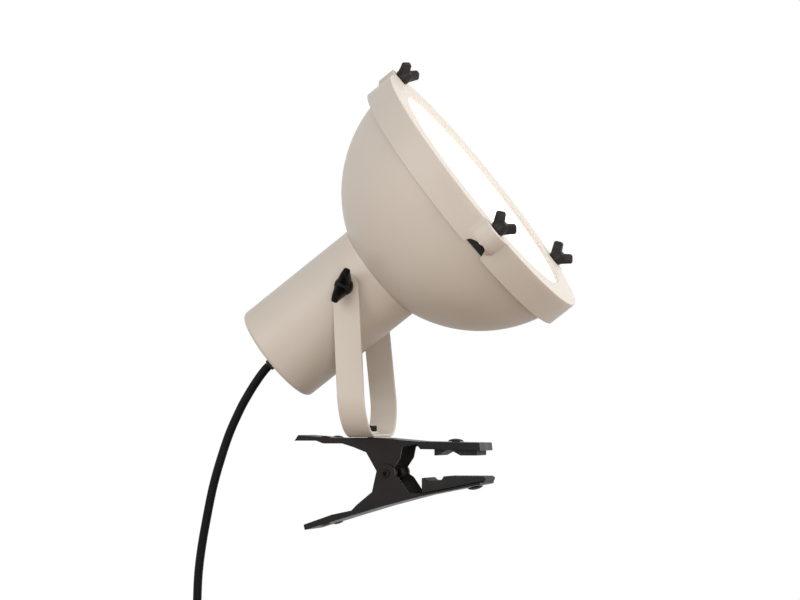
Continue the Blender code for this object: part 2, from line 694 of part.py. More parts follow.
def clip_spring(lower_frame):
    """Two coils with a bridge that bears under the upper handle, and two lower legs."""
    pin = Vector((PIN_X, 0, PIN_Z))
    ceiling = line_height(upper_top_line(), PIN_X - SPRING_REACH) - SHEET
    bridge_z = ceiling - GAP - WIRE_RADIUS - PIN_Z
    reach = math.hypot(SPRING_REACH, bridge_z)
    tangent = math.atan2(bridge_z, -SPRING_REACH) - math.acos(COIL_RADIUS / reach)
    start = tangent - 2 * math.pi * COIL_TURNS
    near = spring_coil(-1, start)
    far = spring_coil(1, start)
    corner = Vector((-SPRING_REACH, near[-1].y, bridge_z))
    way = (near[-1] - corner).normalized()
    short = SPRING_BEND * SPRING_CORNER
    turn_in = [corner + way * SPRING_BEND, corner + way * short + Vector((0, short, 0))]
    turn_in.append(corner + Vector((0, SPRING_BEND, 0)))
    mirrored = [Vector((p.x, -p.y, p.z)) for p in reversed(turn_in)]
    line = [pin + p for p in [*near, *turn_in, *mirrored, *reversed(far)]]
    tube("clip_spring", line, WIRE_RADIUS, STEEL_BLACK, None, 1)
    foot_x = -SPRING_REACH
    inner = [(x, z + SLOPED_SHEET) for x, z in lower_face_line()]
    foot_z = line_height(inner, PIN_X + foot_x) + GAP + WIRE_RADIUS * FOOT_CLEARANCE - PIN_Z
    foot = math.hypot(foot_x, foot_z)
    lean = math.atan2(foot_z, foot_x) + math.acos(COIL_RADIUS / foot)
    for name, side in (("near", -1), ("far", 1)):
        hook = [
            Vector((COIL_RADIUS * math.cos(t), side * SPRING_LEG_Y, COIL_RADIUS * math.sin(t)))
            for t in (lean + math.radians(60 * i / 5) for i in range(5, -1, -1))
        ]
        end = Vector((foot_x, side * SPRING_LEG_Y, foot_z))
        leg = [*hook, end]
        tube("spring_leg_" + name, leg, WIRE_RADIUS, STEEL_BLACK, lower_frame, 1)


def stem_and_dome(x, line, direction):
    """Stem through the sheet with a domed head on its far side; line is the sheet's outer face."""
    root = -direction * (SHEET + 3 * GAP + STEM_END)
    face = direction * GAP
    profile = [
        (0.0, root),
        (STEM_RADIUS, root),
        (STEM_RADIUS, face),
        (DOME_RADIUS, face),
        (DOME_RADIUS * DOME_SHOULDER, face + direction * DOME_HEIGHT / 2),
        (DOME_RADIUS / 2, face + direction * DOME_HEIGHT * DOME_SHOULDER),
        (0.0, face + direction * DOME_HEIGHT),
    ]
    return square_to(turned(profile, 24), line, x)


def upper_pad():
    """Rubber block with a V groove for tubes; its front foot is the gripping face."""
    top = upper_top_line()
    front = UPPER_PAD_FOOT / 2
    groove_front = -UPPER_PAD_FOOT / 2
    heel_front = UPPER_PAD_REAR + UPPER_PAD_HEEL
    roof = SHEET + GAP
    outline = [
        (front, 0.0),
        (groove_front, 0.0),
        ((groove_front + heel_front) / 2, UPPER_GROOVE_DEPTH),
        (heel_front, 0.0),
        (UPPER_PAD_REAR, 0.0),
        (UPPER_PAD_REAR, line_height(top, UPPER_PAD_REAR) - roof),
        (front, line_height(top, front) - roof),
    ]
    body = prism(outline, -PAD_HALF_WIDTH, PAD_HALF_WIDTH, along_y)
    body = combined("UNION", body, stem_and_dome(UPPER_STEM_X, top, 1))
    solid("upper_pad", body, RUBBER_BLACK)


def lower_pad(parent):
    """Rubber wedge with a notch for tubes; its tip wraps the plate's edge."""
    inner = [(x, z + SLOPED_SHEET + GAP) for x, z in lower_face_line()]
    flat = -JAW_GAP
    low = flat - LOWER_PAD_STEP
    hook = LOWER_FRONT_X + GAP
    outline = [
        (LOWER_PAD_REAR, low),
        (LOWER_NOTCH_X[0], low),
        (LOWER_NOTCH_X[0] + LOWER_NOTCH_SLOPE, flat - LOWER_NOTCH_DEPTH),
        (LOWER_NOTCH_X[1] - LOWER_NOTCH_SLOPE, flat - LOWER_NOTCH_DEPTH),
        (LOWER_NOTCH_X[1], flat),
        (LOWER_PAD_TIP - LOWER_PAD_BEVEL, flat),
        (LOWER_PAD_TIP, low),
        (LOWER_PAD_TIP - LOWER_PAD_STEP, low - LOWER_PAD_TIP_HEIGHT),
        (hook, low - LOWER_PAD_TIP_HEIGHT),
        (hook, line_height(inner, hook)),
        *[p for p in reversed(inner) if LOWER_PAD_REAR < p[0] < hook],
        (LOWER_PAD_REAR, line_height(inner, LOWER_PAD_REAR)),
    ]
    body = prism(outline, -PAD_HALF_WIDTH, PAD_HALF_WIDTH, along_y)
    body = combined("UNION", body, stem_and_dome(LOWER_STEM_X, lower_face_line(), -1))
    moved(body, (-PIN_X, 0, -PIN_Z))
    solid("lower_pad", body, RUBBER_BLACK, parent)


def swivel_fixing():
    """Screw up through the plate and the yoke, with a washer and a nut on top."""
    under = SEAT_HEIGHT - SHEET - GAP
    washer = YOKE_UNDERSIDE + STRAP + GAP
    nut = washer + WASHER + GAP
    place = (SWIVEL_X, 0, 0)
    profile = [
        (0.0, under - SCREW_HEAD_HEIGHT),
        (SCREW_HEAD_RADIUS * CROWN, under - SCREW_HEAD_HEIGHT),
        (SCREW_HEAD_RADIUS, under - SCREW_HEAD_HEIGHT / 2),
        (SCREW_HEAD_RADIUS, under),
        (SWIVEL_RADIUS, under),
        (SWIVEL_RADIUS, nut + NUT_HEIGHT + SCREW_END),
        (0.0, nut + NUT_HEIGHT + SCREW_END),
    ]
    solid("base_screw", turned(profile, 20), PLATED, None, place)
    hole = SWIVEL_RADIUS + BORE_PLAY
    ring = [(hole, washer), (BASE_WASHER_RADIUS, washer)]
    ring += [(BASE_WASHER_RADIUS, washer + WASHER), (hole, washer + WASHER)]
    solid("base_washer", turned(ring, 24, True), PLATED, None, place)
    corner = NUT_FLATS / 2 / math.cos(math.pi / 6)
    hexagon = prism(arc((0, 0), corner, 0, 300, 5), nut, nut + NUT_HEIGHT, along_z)
    body = combined("DIFFERENCE", hexagon, rod(hole, washer, nut + 2 * NUT_HEIGHT))
    solid("base_nut", body, STEEL_BLACK, None, place)


# ---------------------------------------------------------------- yoke

def leg_line():
    """Inner face of one leg and half the base, (y, z) below the pivot, from top to middle."""
    floor = -YOKE_HEIGHT + STRAP
    centre = (YOKE_FLAT_HALF, floor + YOKE_BEND)
    to_knee = (LEG_INNER_Y - centre[0], -LEG_STRAIGHT - centre[1])
    reach = math.hypot(*to_knee)
    start = math.degrees(math.atan2(to_knee[1], to_knee[0]) - math.acos(YOKE_BEND / reach))
    top = STRAP_WIDTH / 2
    rounded = [(LEG_INNER_Y, top * math.sin(math.radians(a))) for a in (82, 68, 52, 36, 18, 0)]
    knee = [(LEG_INNER_Y, -LEG_STRAIGHT)]
    return [*rounded, *knee, *arc(centre, YOKE_BEND, start, -90, 9)]


def yoke_strap(parent):
    """Flat strip bent to a U, its legs raked back from the swivel."""
    inner = leg_line()
    line = [*inner, *[(-y, z) for y, z in reversed(inner)]]
    body = bmesh.new()
    stations = []
    for i, (y, z) in enumerate(line):
        before = line[max(i - 1, 0)]
        after = line[min(i + 1, len(line) - 1)]
        along = Vector((after[0] - before[0], after[1] - before[1])).normalized()
        outer = (y - along[1] * STRAP, z + along[0] * STRAP)
        if abs(outer[0]) < abs(y) or outer[1] > z + STRAP / 2:
            outer = (y + along[1] * STRAP, z - along[0] * STRAP)
        half = STRAP_WIDTH / 2
        if z > 0:
            half = math.sqrt(half * half - z * z)
        corners = []
        for (py, pz), x in (((y, z), -half), ((y, z), half), (outer, half), (outer, -half)):
            corners.append(body.verts.new((x - pz * math.tan(YOKE_RAKE), py, pz)))
        stations.append(corners)
    for first, second in zip(stations, stations[1:]):
        for i in range(4):
            j = (i + 1) % 4
            body.faces.new((first[i], first[j], second[j], second[i]))
    body.faces.new(stations[0])
    body.faces.new(stations[-1])
    outward(body)
    across = 2 * LEG_INNER_Y
    pivot_hole = turned_to(rod(PIVOT_SCREW_RADIUS + BORE_PLAY, -across, across, 24), (0, 1, 0))
    base_hole = rod(SWIVEL_RADIUS + BORE_PLAY, -YOKE_HEIGHT - STRAP, -YOKE_HEIGHT + 2 * STRAP)
    moved(base_hole, (SWIVEL_X - PIVOT.x, 0, 0))
    body = combined("DIFFERENCE", body, pivot_hole, base_hole)
    moved(body, (PIVOT.x - SWIVEL_X, 0, PIVOT.z))
    solid("yoke_strap", body, PAINT, parent)


def friction_washers(parent):
    """Discs between the tail's bosses and the yoke's legs."""
    hole = PIVOT_SCREW_RADIUS + BORE_PLAY
    for name, side in (("near", -1), ("far", 1)):
        ring = [
            (hole, WASHER_INNER_Y),
            (FRICTION_WASHER_RADIUS, WASHER_INNER_Y),
            (FRICTION_WASHER_RADIUS, WASHER_INNER_Y + WASHER),
            (hole, WASHER_INNER_Y + WASHER),
        ]
        body = turned_to(turned(ring, 20, True), (0, side, 0))
        solid("friction_washer_" + name, body, PLASTIC_BLACK, parent)


# ---------------------------------------------------------------- head

def bowl_arc(radius, start_radius, end_height, steps):
    """Sphere profile from a small circle near the tail forwards to a height."""
    first = math.degrees(math.asin(start_radius / radius))
    last = math.degrees(math.acos((BOWL_CENTRE - end_height) / radius))
    turns = [math.radians(first + (last - first) * i / steps) for i in range(steps + 1)]
    return [(radius * math.sin(t), BOWL_CENTRE - radius * math.cos(t)) for t in turns]


def at_angle(radius, angle):
    """A place on the head's cross-section: 0 is its upper side, positive angles are near."""
    turn = math.radians(angle)
    return (-radius * math.cos(turn), -radius * math.sin(turn), 0.0)


def screw_places():
    return [at_angle(BRACKET_SCREW_CENTRE, a) for a in (SCREW_ANGLE, SCREW_ANGLE - 180)]


def bowl_shell(parent):
    """Spun bowl with a flat floor, a turned-in rim and three ears for the studs."""
    steps = 8
    inner_radius = BOWL_RADIUS - BOWL_WALL
    lip = BOWL_RIM - BOWL_WALL
    outer = bowl_arc(BOWL_RADIUS, BOWL_FLOOR_RADIUS, BOWL_RIM, steps)
    inner = bowl_arc(inner_radius, BOWL_FLOOR_RADIUS, lip, steps)
    profile = [(BOWL_HOLE, BOWL_FLOOR), *outer, (BOWL_LIP_INNER, BOWL_RIM), (BOWL_LIP_INNER, lip)]
    profile += [*reversed(inner[1:]), (BOWL_FLOOR_RADIUS, BOWL_FLOOR + BOWL_WALL)]
    profile += [(BOWL_HOLE, BOWL_FLOOR + BOWL_WALL)]
    body = turned(profile, 52, True)
    ears = []
    holes = []
    for angle in BOSS_ANGLES.values():
        outline = arc((0, 0), EAR_RADIUS, -90, 90, 12)
        ear = prism(outline, lip + EAR_INSET, BOWL_RIM - EAR_INSET, along_z)
        turn = Vector((1, 0, 0)).rotation_difference(Vector(at_angle(1.0, angle)))
        bmesh.ops.rotate(ear, cent=(0, 0, 0), matrix=turn.to_matrix(), verts=ear.verts)
        ears.append(moved(ear, at_angle(EAR_CENTRE, angle)))
        hole = rod(STUD_RADIUS + BORE_PLAY, lip - PAST, BOWL_RIM + PAST, 16)
        holes.append(moved(hole, at_angle(STUD_CENTRE, angle)))
    body = combined("UNION", body, *ears)
    for place in screw_places():
        past = BOWL_FLOOR + BOWL_WALL + PAST
        hole = rod(BRACKET_SCREW_RADIUS + BORE_PLAY, BOWL_FLOOR - PAST, past, 16)
        holes.append(moved(hole, place))
    body = combined("DIFFERENCE", body, *holes)
    solid("bowl_shell", body, PAINT, parent)


def tail_housing(parent):
    """Round tube behind the bowl with a front flange, a rear wall and two pivot bosses."""
    seat = BOWL_RADIUS + GAP
    front = BOWL_CENTRE - math.sqrt(seat**2 - TAIL_RADIUS**2)
    flange = BOWL_FLOOR - GAP
    inner = TAIL_RADIUS - TAIL_WALL
    rear_inner = TAIL_REAR + TAIL_WALL
    edge = arc((TAIL_RADIUS - TAIL_EDGE, TAIL_REAR + TAIL_EDGE), TAIL_EDGE, -90, 0, 4)
    profile = [
        (0.0, TAIL_REAR),
        *edge,
        (TAIL_RADIUS, front),
        (BOWL_FLOOR_RADIUS, flange),
        (BOWL_HOLE, flange),
        (BOWL_HOLE, flange - TAIL_WALL),
        (inner, flange - TAIL_WALL),
        (inner, rear_inner),
        (0.0, rear_inner),
    ]
    body = turned(profile, 40)
    start = PIVOT_BOSS_Y - PIVOT_BOSS_DEPTH
    bosses = []
    for side in (-1, 1):
        boss = rod(PIVOT_BOSS_RADIUS, start, PIVOT_BOSS_Y, 20)
        bosses.append(turned_to(boss, (0, side, 0)))
    body = combined("UNION", body, *bosses)
    across = 2 * TAIL_RADIUS
    holes = [turned_to(rod(PIVOT_SCREW_RADIUS + BORE_PLAY, -across, across, 20), (0, 1, 0))]
    gland_hole = rod(GLAND_NECK + BORE_PLAY, TAIL_REAR - PAST, rear_inner + PAST, 24)
    holes.append(moved(gland_hole, (GLAND_DROP, 0, 0)))
    for place in screw_places():
        hole = rod(BRACKET_SCREW_RADIUS + BORE_PLAY, flange - 2 * TAIL_WALL, flange + PAST, 16)
        holes.append(moved(hole, place))
    body = combined("DIFFERENCE", body, *holes)
    solid("tail_housing", body, PAINT, parent)


def front_ring(parent):
    """Deep ring with an inward flange and three hollow half-round bosses."""
    inner = RING_RADIUS - RING_WALL
    flange = RING_FRONT - RING_FLANGE
    profile = [
        (RING_RADIUS, RING_REAR),
        (RING_RADIUS, RING_FRONT - RING_CHAMFER),
        (RING_RADIUS - RING_CHAMFER, RING_FRONT),
        (RING_OPENING, RING_FRONT),
        (RING_OPENING, flange),
        (inner, flange),
        (inner, RING_REAR),
    ]
    body = turned(profile, 64, True)
    ridge = RING_FRONT - BOSS_RIDGE
    fade = ridge - BOSS_FADE
    band = RING_RADIUS - BOSS_CENTRE
    bosses = []
    cuts = []
    for angle in BOSS_ANGLES.values():
        outside = [
            (0.0, fade),
            (band, fade),
            (band + (BOSS_RADIUS - band) * FADE_RISE, ridge - BOSS_FADE * FADE_RUN),
            (BOSS_RADIUS, ridge),
            (BOSS_RADIUS, RING_FRONT - BOSS_SINK),
            (0.0, RING_FRONT - BOSS_SINK),
        ]
        inside = [
            (0.0, fade - BOSS_FADE),
            (band - RING_WALL, fade - BOSS_FADE),
            (band - RING_WALL, fade),
            (BOSS_RADIUS - RING_WALL, ridge),
            (BOSS_RADIUS - RING_WALL, flange),
            (0.0, flange),
        ]
        place = at_angle(BOSS_CENTRE, angle)
        boss = moved(turned(outside, 28), place)
        core = rod(RING_RADIUS - RING_WALL / 2, RING_REAR - BOSS_RADIUS, flange + PAST / 2, 48)
        bosses.append(combined("DIFFERENCE", boss, core))
        cuts.append(moved(turned(inside, 24), place))
        mouse = rod(MOUSE_HOLE, RING_RADIUS - 3 * RING_WALL, RING_RADIUS + BOSS_RADIUS, 20)
        turned_to(mouse, at_angle(1.0, angle))
        cuts.append(moved(mouse, (0, 0, RING_REAR)))
        hole = rod(STUD_RADIUS + BORE_PLAY, flange - PAST, RING_FRONT + PAST, 16)
        cuts.append(moved(hole, at_angle(STUD_CENTRE, angle)))
    body = combined("UNION", body, *bosses)
    body = combined("DIFFERENCE", body, *cuts)
    solid("front_ring", body, PAINT, parent)


def pane_and_gasket(parent):
    solid("diffuser_glass", rod(GLASS_RADIUS, GLASS_FRONT - GLASS, GLASS_FRONT, 56),
          (OPAL, 0.3, 0.0), parent)
    inner = BOWL_LIP_INNER
    outer = inner + GASKET_WIDTH
    back = GASKET_FRONT - GASKET
    ring = [(inner, back), (outer, back), (outer, GASKET_FRONT), (inner, GASKET_FRONT)]
    solid("glass_gasket", turned(ring, 40, True), RUBBER_BLACK, parent)


def stud(name, angle, parent):
    """Threaded stud that stands in a bowl ear, with a collar that clamps the ear."""
    collar = BOWL_RIM + GAP
    profile = [
        (0.0, BOWL_RIM - BOWL_WALL - STUD_ROOT),
        (STUD_RADIUS, BOWL_RIM - BOWL_WALL - STUD_ROOT),
        (STUD_RADIUS, collar),
        (STUD_COLLAR_RADIUS, collar),
        (STUD_COLLAR_RADIUS, collar + STUD_COLLAR),
        (STUD_RADIUS, collar + STUD_COLLAR),
        (STUD_RADIUS, NUT_SEAT + NUT_HUB_HEIGHT + STUD_END),
        (0.0, NUT_SEAT + NUT_HUB_HEIGHT + STUD_END),
    ]
    solid("stud_" + name, turned(profile, 16), PLATED, parent, at_angle(STUD_CENTRE, angle))


def winged_hub(hub_radius, hub_height, tip_reach, tip_height, thickness):
    """A tapered hub with two ears that rise from its foot, standing on Z = 0."""
    hub = [(0.0, 0.0), (hub_radius, 0.0), (hub_radius, hub_height * 0.5)]
    hub += [(hub_radius * CROWN, hub_height), (0.0, hub_height)]
    wings = []
    for side in (-1, 1):
        tip = arc((tip_reach, tip_height), TIP_RADIUS, -55, 150, 9)
        outline = [(WING_ROOT, WING_ROOT), *tip, (WING_ROOT, hub_height - WING_SADDLE)]
        outline = [(side * u, v) for u, v in outline]
        wings.append(prism(outline, -thickness / 2, thickness / 2, along_y))
    return combined("UNION", turned(hub, 20), *wings)


def wing_nut(name, angle, turn, parent):
    """Nut on a stud of the ring, its wings turned from the ring's radius."""
    body = winged_hub(NUT_HUB_RADIUS, NUT_HUB_HEIGHT, NUT_TIP_REACH, NUT_TIP_HEIGHT, NUT_WING)
    body = combined("DIFFERENCE", body, rod(STUD_RADIUS + BORE_PLAY, -PAST, 2 * NUT_HUB_HEIGHT, 16))
    x, y, z = at_angle(STUD_CENTRE, angle)
    nut = solid("wing_nut_" + name, body, PLASTIC_BLACK, parent, (x, y, NUT_SEAT))
    nut.rotation_euler = (0, 0, math.radians(angle + turn))


def wing_screw(name, side, parent):
    """Tilt knob: wings outside the yoke's leg, its shank screwed into the tail's boss."""
    body = winged_hub(
        KNOB_HUB_RADIUS, KNOB_HUB_HEIGHT, KNOB_TIP_REACH, KNOB_TIP_HEIGHT, KNOB_WING
    )
    length = KNOB_SEAT_Y - (PIVOT_BOSS_Y - PIVOT_BOSS_DEPTH) + PIVOT_SCREW_ROOT
    body = combined("UNION", body, rod(PIVOT_SCREW_RADIUS, -length, KNOB_HUB_HEIGHT / 2, 20))
    place = (PIVOT.x, side * KNOB_SEAT_Y, PIVOT.z)
    turned_to(body, (0, side, 0))
    knob = solid("side_knob_" + name, body, PLASTIC_BLACK, None, place)
    knob.rotation_euler = (0, -math.radians(KNOB_TURN), 0)
    knob.parent = parent
    knob.matrix_parent_inverse = frame_matrix(parent).inverted()


def frame_matrix(frame):
    bpy.context.view_layer.update()
    return frame.matrix_world


def lamp_holder(parent):
    """Porcelain holder in a cupped bracket that two screws hold behind the tail's flange."""
    flange = BOWL_FLOOR - GAP - TAIL_WALL - GAP
    cup_inner = HOLDER_RADIUS + GAP
    cup_outer = cup_inner + BRACKET
    floor = HOLDER_REAR - GAP
    wire_hole = 2 * CORD_RADIUS
    cup = [
        (wire_hole, floor - BRACKET),
        (cup_outer, floor - BRACKET),
        (cup_outer, flange - BRACKET),
        (BRACKET_FLANGE_RADIUS, flange - BRACKET),
        (BRACKET_FLANGE_RADIUS, flange),
        (cup_inner, flange),
        (cup_inner, floor),
        (wire_hole, floor),
    ]
    body = turned(cup, 26, True)
    holes = []
    for place in screw_places():
        hole = rod(BRACKET_SCREW_RADIUS + BORE_PLAY, flange - 2 * BRACKET, flange + PAST, 16)
        holes.append(moved(hole, place))
    solid("holder_bracket", combined("DIFFERENCE", body, *holes), PLATED, parent)
    head = BOWL_FLOOR + BOWL_WALL + GAP
    for name, place in zip(("near", "far"), screw_places()):
        profile = [
            (0.0, flange - BRACKET - BRACKET_SCREW_END),
            (BRACKET_SCREW_RADIUS, flange - BRACKET - BRACKET_SCREW_END),
            (BRACKET_SCREW_RADIUS, head),
            (BRACKET_SCREW_HEAD, head),
            (BRACKET_SCREW_HEAD, head + BRACKET_SCREW_HEAD_HEIGHT),
            (0.0, head + BRACKET_SCREW_HEAD_HEIGHT),
        ]
        solid("bracket_screw_" + name, turned(profile, 14), PLATED, parent, place)
    bore = CAP_RADIUS + GAP
    bottom = HOLDER_FRONT - HOLDER_BORE_DEPTH
    cylinder = [
        (0.0, HOLDER_REAR),
        (HOLDER_RADIUS, HOLDER_REAR),
        (HOLDER_RADIUS, HOLDER_FRONT),
        (bore, HOLDER_FRONT),
        (bore, bottom),
        (0.0, bottom),
    ]
    solid("lamp_holder", turned(cylinder, 28), (PORCELAIN, 0.3, 0.0), parent)


def bulb(parent):
    """Screw cap and opal globe."""
    bottom = HOLDER_FRONT - HOLDER_BORE_DEPTH + GAP
    cap = [
        (0.0, bottom),
        (CAP_RADIUS * 0.5, bottom),
        (CAP_RADIUS, bottom + CAP_TAPER),
        (CAP_RADIUS, CAP_FRONT),
        (0.0, CAP_FRONT),
    ]
    solid("bulb_cap", turned(cap, 20), PLATED, parent)
    start = math.degrees(math.asin(BULB_NECK / BULB_RADIUS)) - 90
    globe = arc((0.0, BULB_CENTRE), BULB_RADIUS, start, 90, 8)
    globe[-1] = (0.0, globe[-1][1])
    neck = CAP_FRONT + GAP
    profile = [(0.0, neck), (BULB_NECK, neck), *globe]
    solid("bulb_globe", turned(profile, 22), (OPAL, 0.2, 0.0), parent)


def cord_gland(parent):
    """Rubber strain relief through the rear wall, thin at its nose, and the lead inside."""
    bore = CORD_RADIUS + BORE_PLAY
    inside = TAIL_REAR + TAIL_WALL + GAP
    outside = TAIL_REAR - GAP
    nose = outside - GLAND_NOSE + GAP
    profile = [
        (bore, inside + GLAND_INSIDE),
        (GLAND_NECK, inside + GLAND_INSIDE),
        (GLAND_NECK + GLAND_FILLET, inside + GLAND_FLANGE_DEPTH),
        (GLAND_FLANGE, inside + GLAND_FLANGE_DEPTH),
        (GLAND_FLANGE, inside),
        (GLAND_NECK, inside),
        (GLAND_NECK, outside),
        (GLAND_FLANGE, outside),
        (GLAND_FLANGE - GLAND_FILLET, outside - GLAND_FLANGE_DEPTH / 2),
        (GLAND_NECK + GLAND_FILLET, outside - GLAND_FLANGE_DEPTH / 2),
        (bore + GLAND_WALL, nose),
        (bore, nose),
    ]
    solid("cord_gland", turned(profile, 16, True), RUBBER_BLACK, parent, (GLAND_DROP, 0, 0))
    start = Vector((GLAND_DROP, 0, nose + GAP))
    leaves = Vector((GLAND_DROP, 0, inside + GLAND_INSIDE + CORE_SLACK))
    arrives = Vector((0, 0, HOLDER_REAR - CORE_DROP))
    end = Vector((0, 0, HOLDER_REAR - GAP))
    line = smooth_route([start, leaves, arrives, end], CORD_STEP)
    tube("inner_lead", line, CORD_RADIUS, RUBBER_BLACK, parent)
    return nose


# ---------------------------------------------------------------- lead

def free_lead(parent, head, nose):
    """The lead from the gland down to the in-line switch."""
    origin = Vector((SWIVEL_X, 0, 0))
    start = frame_matrix(head) @ Vector((GLAND_DROP, 0, nose - CORD_START))
    route = [start] + [Vector((x * MM, 0, z * MM)) for x, z in CORD_ROUTE]
    line = smooth_route(route, CORD_STEP)
    tube("cord_upper", [p - origin for p in line], CORD_RADIUS, RUBBER_BLACK, parent)
    return line[-1]


def rounded_box(low, high, edge):
    """A box whose upright edges along Z are cut at 45 degrees."""
    (x0, y0, z0), (x1, y1, z1) = low, high
    outline = [(x0 + edge, y0), (x1 - edge, y0), (x1, y0 + edge), (x1, y1)]
    outline += [(x0, y1), (x0, y0 + edge)]
    return prism(outline, z0, z1, along_z)


def inline_switch(parent, top, hinge):
    """Two shells that meet in the lead's plane, and a rocker in the front one."""
    low = top.z - GAP - SWITCH_LENGTH
    high = top.z - GAP
    middle = (low + high) / 2
    centre = Vector((top.x - SWIVEL_X, 0, 0))
    half = SWITCH_WIDTH / 2
    split = GAP / 2
    for name, side in (("front", -1), ("back", 1)):
        skin = SWITCH_DEPTH / 2
        shell = rounded_box((-half, -skin, low), (half, -split, high), SWITCH_EDGE)
        wall = SWITCH_WALL
        room = block((-half + wall, -skin + wall, low + wall), (half - wall, MM, high - wall))
        cuts = [room]
        if side < 0:
            window = ROCKER_WIDTH / 2 + GAP
            tall = ROCKER_LENGTH / 2 + 2 * GAP
            corner = (window, -skin + 2 * wall, middle + tall)
            cuts.append(block((-window, -skin - PAST, middle - tall), corner))
        body = combined("DIFFERENCE", shell, *cuts)
        if side > 0:
            half_turn = Matrix.Rotation(math.pi, 3, "Z")
            bmesh.ops.rotate(body, cent=(0, 0, 0), matrix=half_turn, verts=body.verts)
        moved(body, centre)
        solid("switch_shell_" + name, body, PLASTIC_BLACK, parent)
    hinge.location = (centre.x, -SWITCH_DEPTH / 2 + 2 * SWITCH_WALL, middle)
    hinge.rotation_euler = (ROCKER_LEAN, 0, 0)
    reach = ROCKER_LENGTH / 2
    face = -2 * SWITCH_WALL
    outline = [
        (-reach * 0.8, 0.0),
        (-reach * 0.94, face - ROCKER_RISE),
        (0.0, face - ROCKER_RISE * 0.35),
        (reach * 0.94, face - ROCKER_RISE),
        (reach * 0.8, 0.0),
    ]
    outline = [(y, z) for z, y in outline]
    body = prism(outline, -ROCKER_WIDTH / 2, ROCKER_WIDTH / 2, along_x)
    solid("switch_rocker", body, PLASTIC_BLACK, hinge)
    return Vector((top.x, 0, low))


def coil_section():
    """Half the coiled bundle's thickness, the same both ways."""
    return (COIL_LAYERS - 1) / 2 * COIL_PITCH + COIL_PITCH / 2


def coiled_lead(parent, start):
    """Short run from the switch, the coil that hangs from it, its tie and the run to the plug."""
    origin = Vector((SWIVEL_X, 0, 0))
    half = coil_section()
    outer = COIL_TURN_RADIUS + half
    clear = outer + GAP
    enter = math.sqrt(clear**2 - (COIL_TURN_RADIUS - CORD_RADIUS) ** 2)
    end = start - Vector((0, 0, LEAD_TO_COIL))
    begin = start - Vector((0, 0, GAP))
    line = [begin, begin.lerp(end, 0.5), end]
    tube("cord_middle", [p - origin for p in line], CORD_RADIUS, RUBBER_BLACK, parent)
    centre = Vector((start.x + COIL_TURN_RADIUS, 0, end.z - enter))
    edge = COIL_PITCH / 2
    profile = [
        (COIL_TURN_RADIUS - half + edge, -half),
        (outer - edge, -half),
        (outer, -half + edge),
        (outer, half - edge),
        (outer - edge, half),
        (COIL_TURN_RADIUS - half + edge, half),
        (COIL_TURN_RADIUS - half, half - edge),
        (COIL_TURN_RADIUS - half, -half + edge),
    ]
    body = turned_to(turned(profile, 40, True), (0, 1, 0))
    solid("cord_coil", body, RUBBER_BLACK, parent, centre - origin)
    inner = half + TIE_PLAY
    skin = inner + TIE
    loop = block((-TIE_WIDTH / 2, -skin, -skin), (TIE_WIDTH / 2, skin, skin))
    room = block((-TIE_WIDTH, -inner, -inner), (TIE_WIDTH, inner, inner))
    tie_place = centre + Vector((0, 0, COIL_TURN_RADIUS)) - origin
    solid("coil_tie", combined("DIFFERENCE", loop, room), PLASTIC_BLACK, parent, tie_place)
    last_turn = COIL_TURN_RADIUS + (COIL_LAYERS - 1) / 2 * COIL_PITCH
    leave = math.sqrt(clear**2 - (last_turn - CORD_RADIUS) ** 2)
    first = Vector((centre.x - last_turn, 0, centre.z - leave))
    last = first - Vector((0, 0, LEAD_TO_PLUG))
    line = [first, first.lerp(last, 0.5), last]
    tube("cord_tail", [p - origin for p in line], CORD_RADIUS, RUBBER_BLACK, parent)
    return last


def plug(parent, top):
    """Flat two-pin plug that hangs at the lead's end."""
    place = top - Vector((SWIVEL_X, 0, GAP))
    outline = [
        (-PLUG_NECK, 0.0),
        (PLUG_NECK, 0.0),
        (PLUG_HALF_WIDTH, -PLUG_SHOULDER),
        (PLUG_HALF_WIDTH, -PLUG_LENGTH),
        (-PLUG_HALF_WIDTH, -PLUG_LENGTH),
        (-PLUG_HALF_WIDTH, -PLUG_SHOULDER),
    ]
    body = prism(outline, -PLUG_HALF_DEPTH, PLUG_HALF_DEPTH, along_x)
    solid("plug_body", body, PLASTIC_BLACK, parent, place)
    start = -PLUG_LENGTH - GAP
    for name, side in (("near", -1), ("far", 1)):
        profile = [
            (0.0, start),
            (PLUG_PIN_RADIUS, start),
            (PLUG_PIN_RADIUS, start - PLUG_PIN_LENGTH + PLUG_PIN_POINT),
            (PLUG_PIN_RADIUS / 2, start - PLUG_PIN_LENGTH),
            (0.0, start - PLUG_PIN_LENGTH),
        ]
        spot = place + Vector((0, side * PLUG_PIN_Y, 0))
        solid("plug_pin_" + name, turned(profile, 16), PLATED, parent, spot)


# ---------------------------------------------------------------- assembly

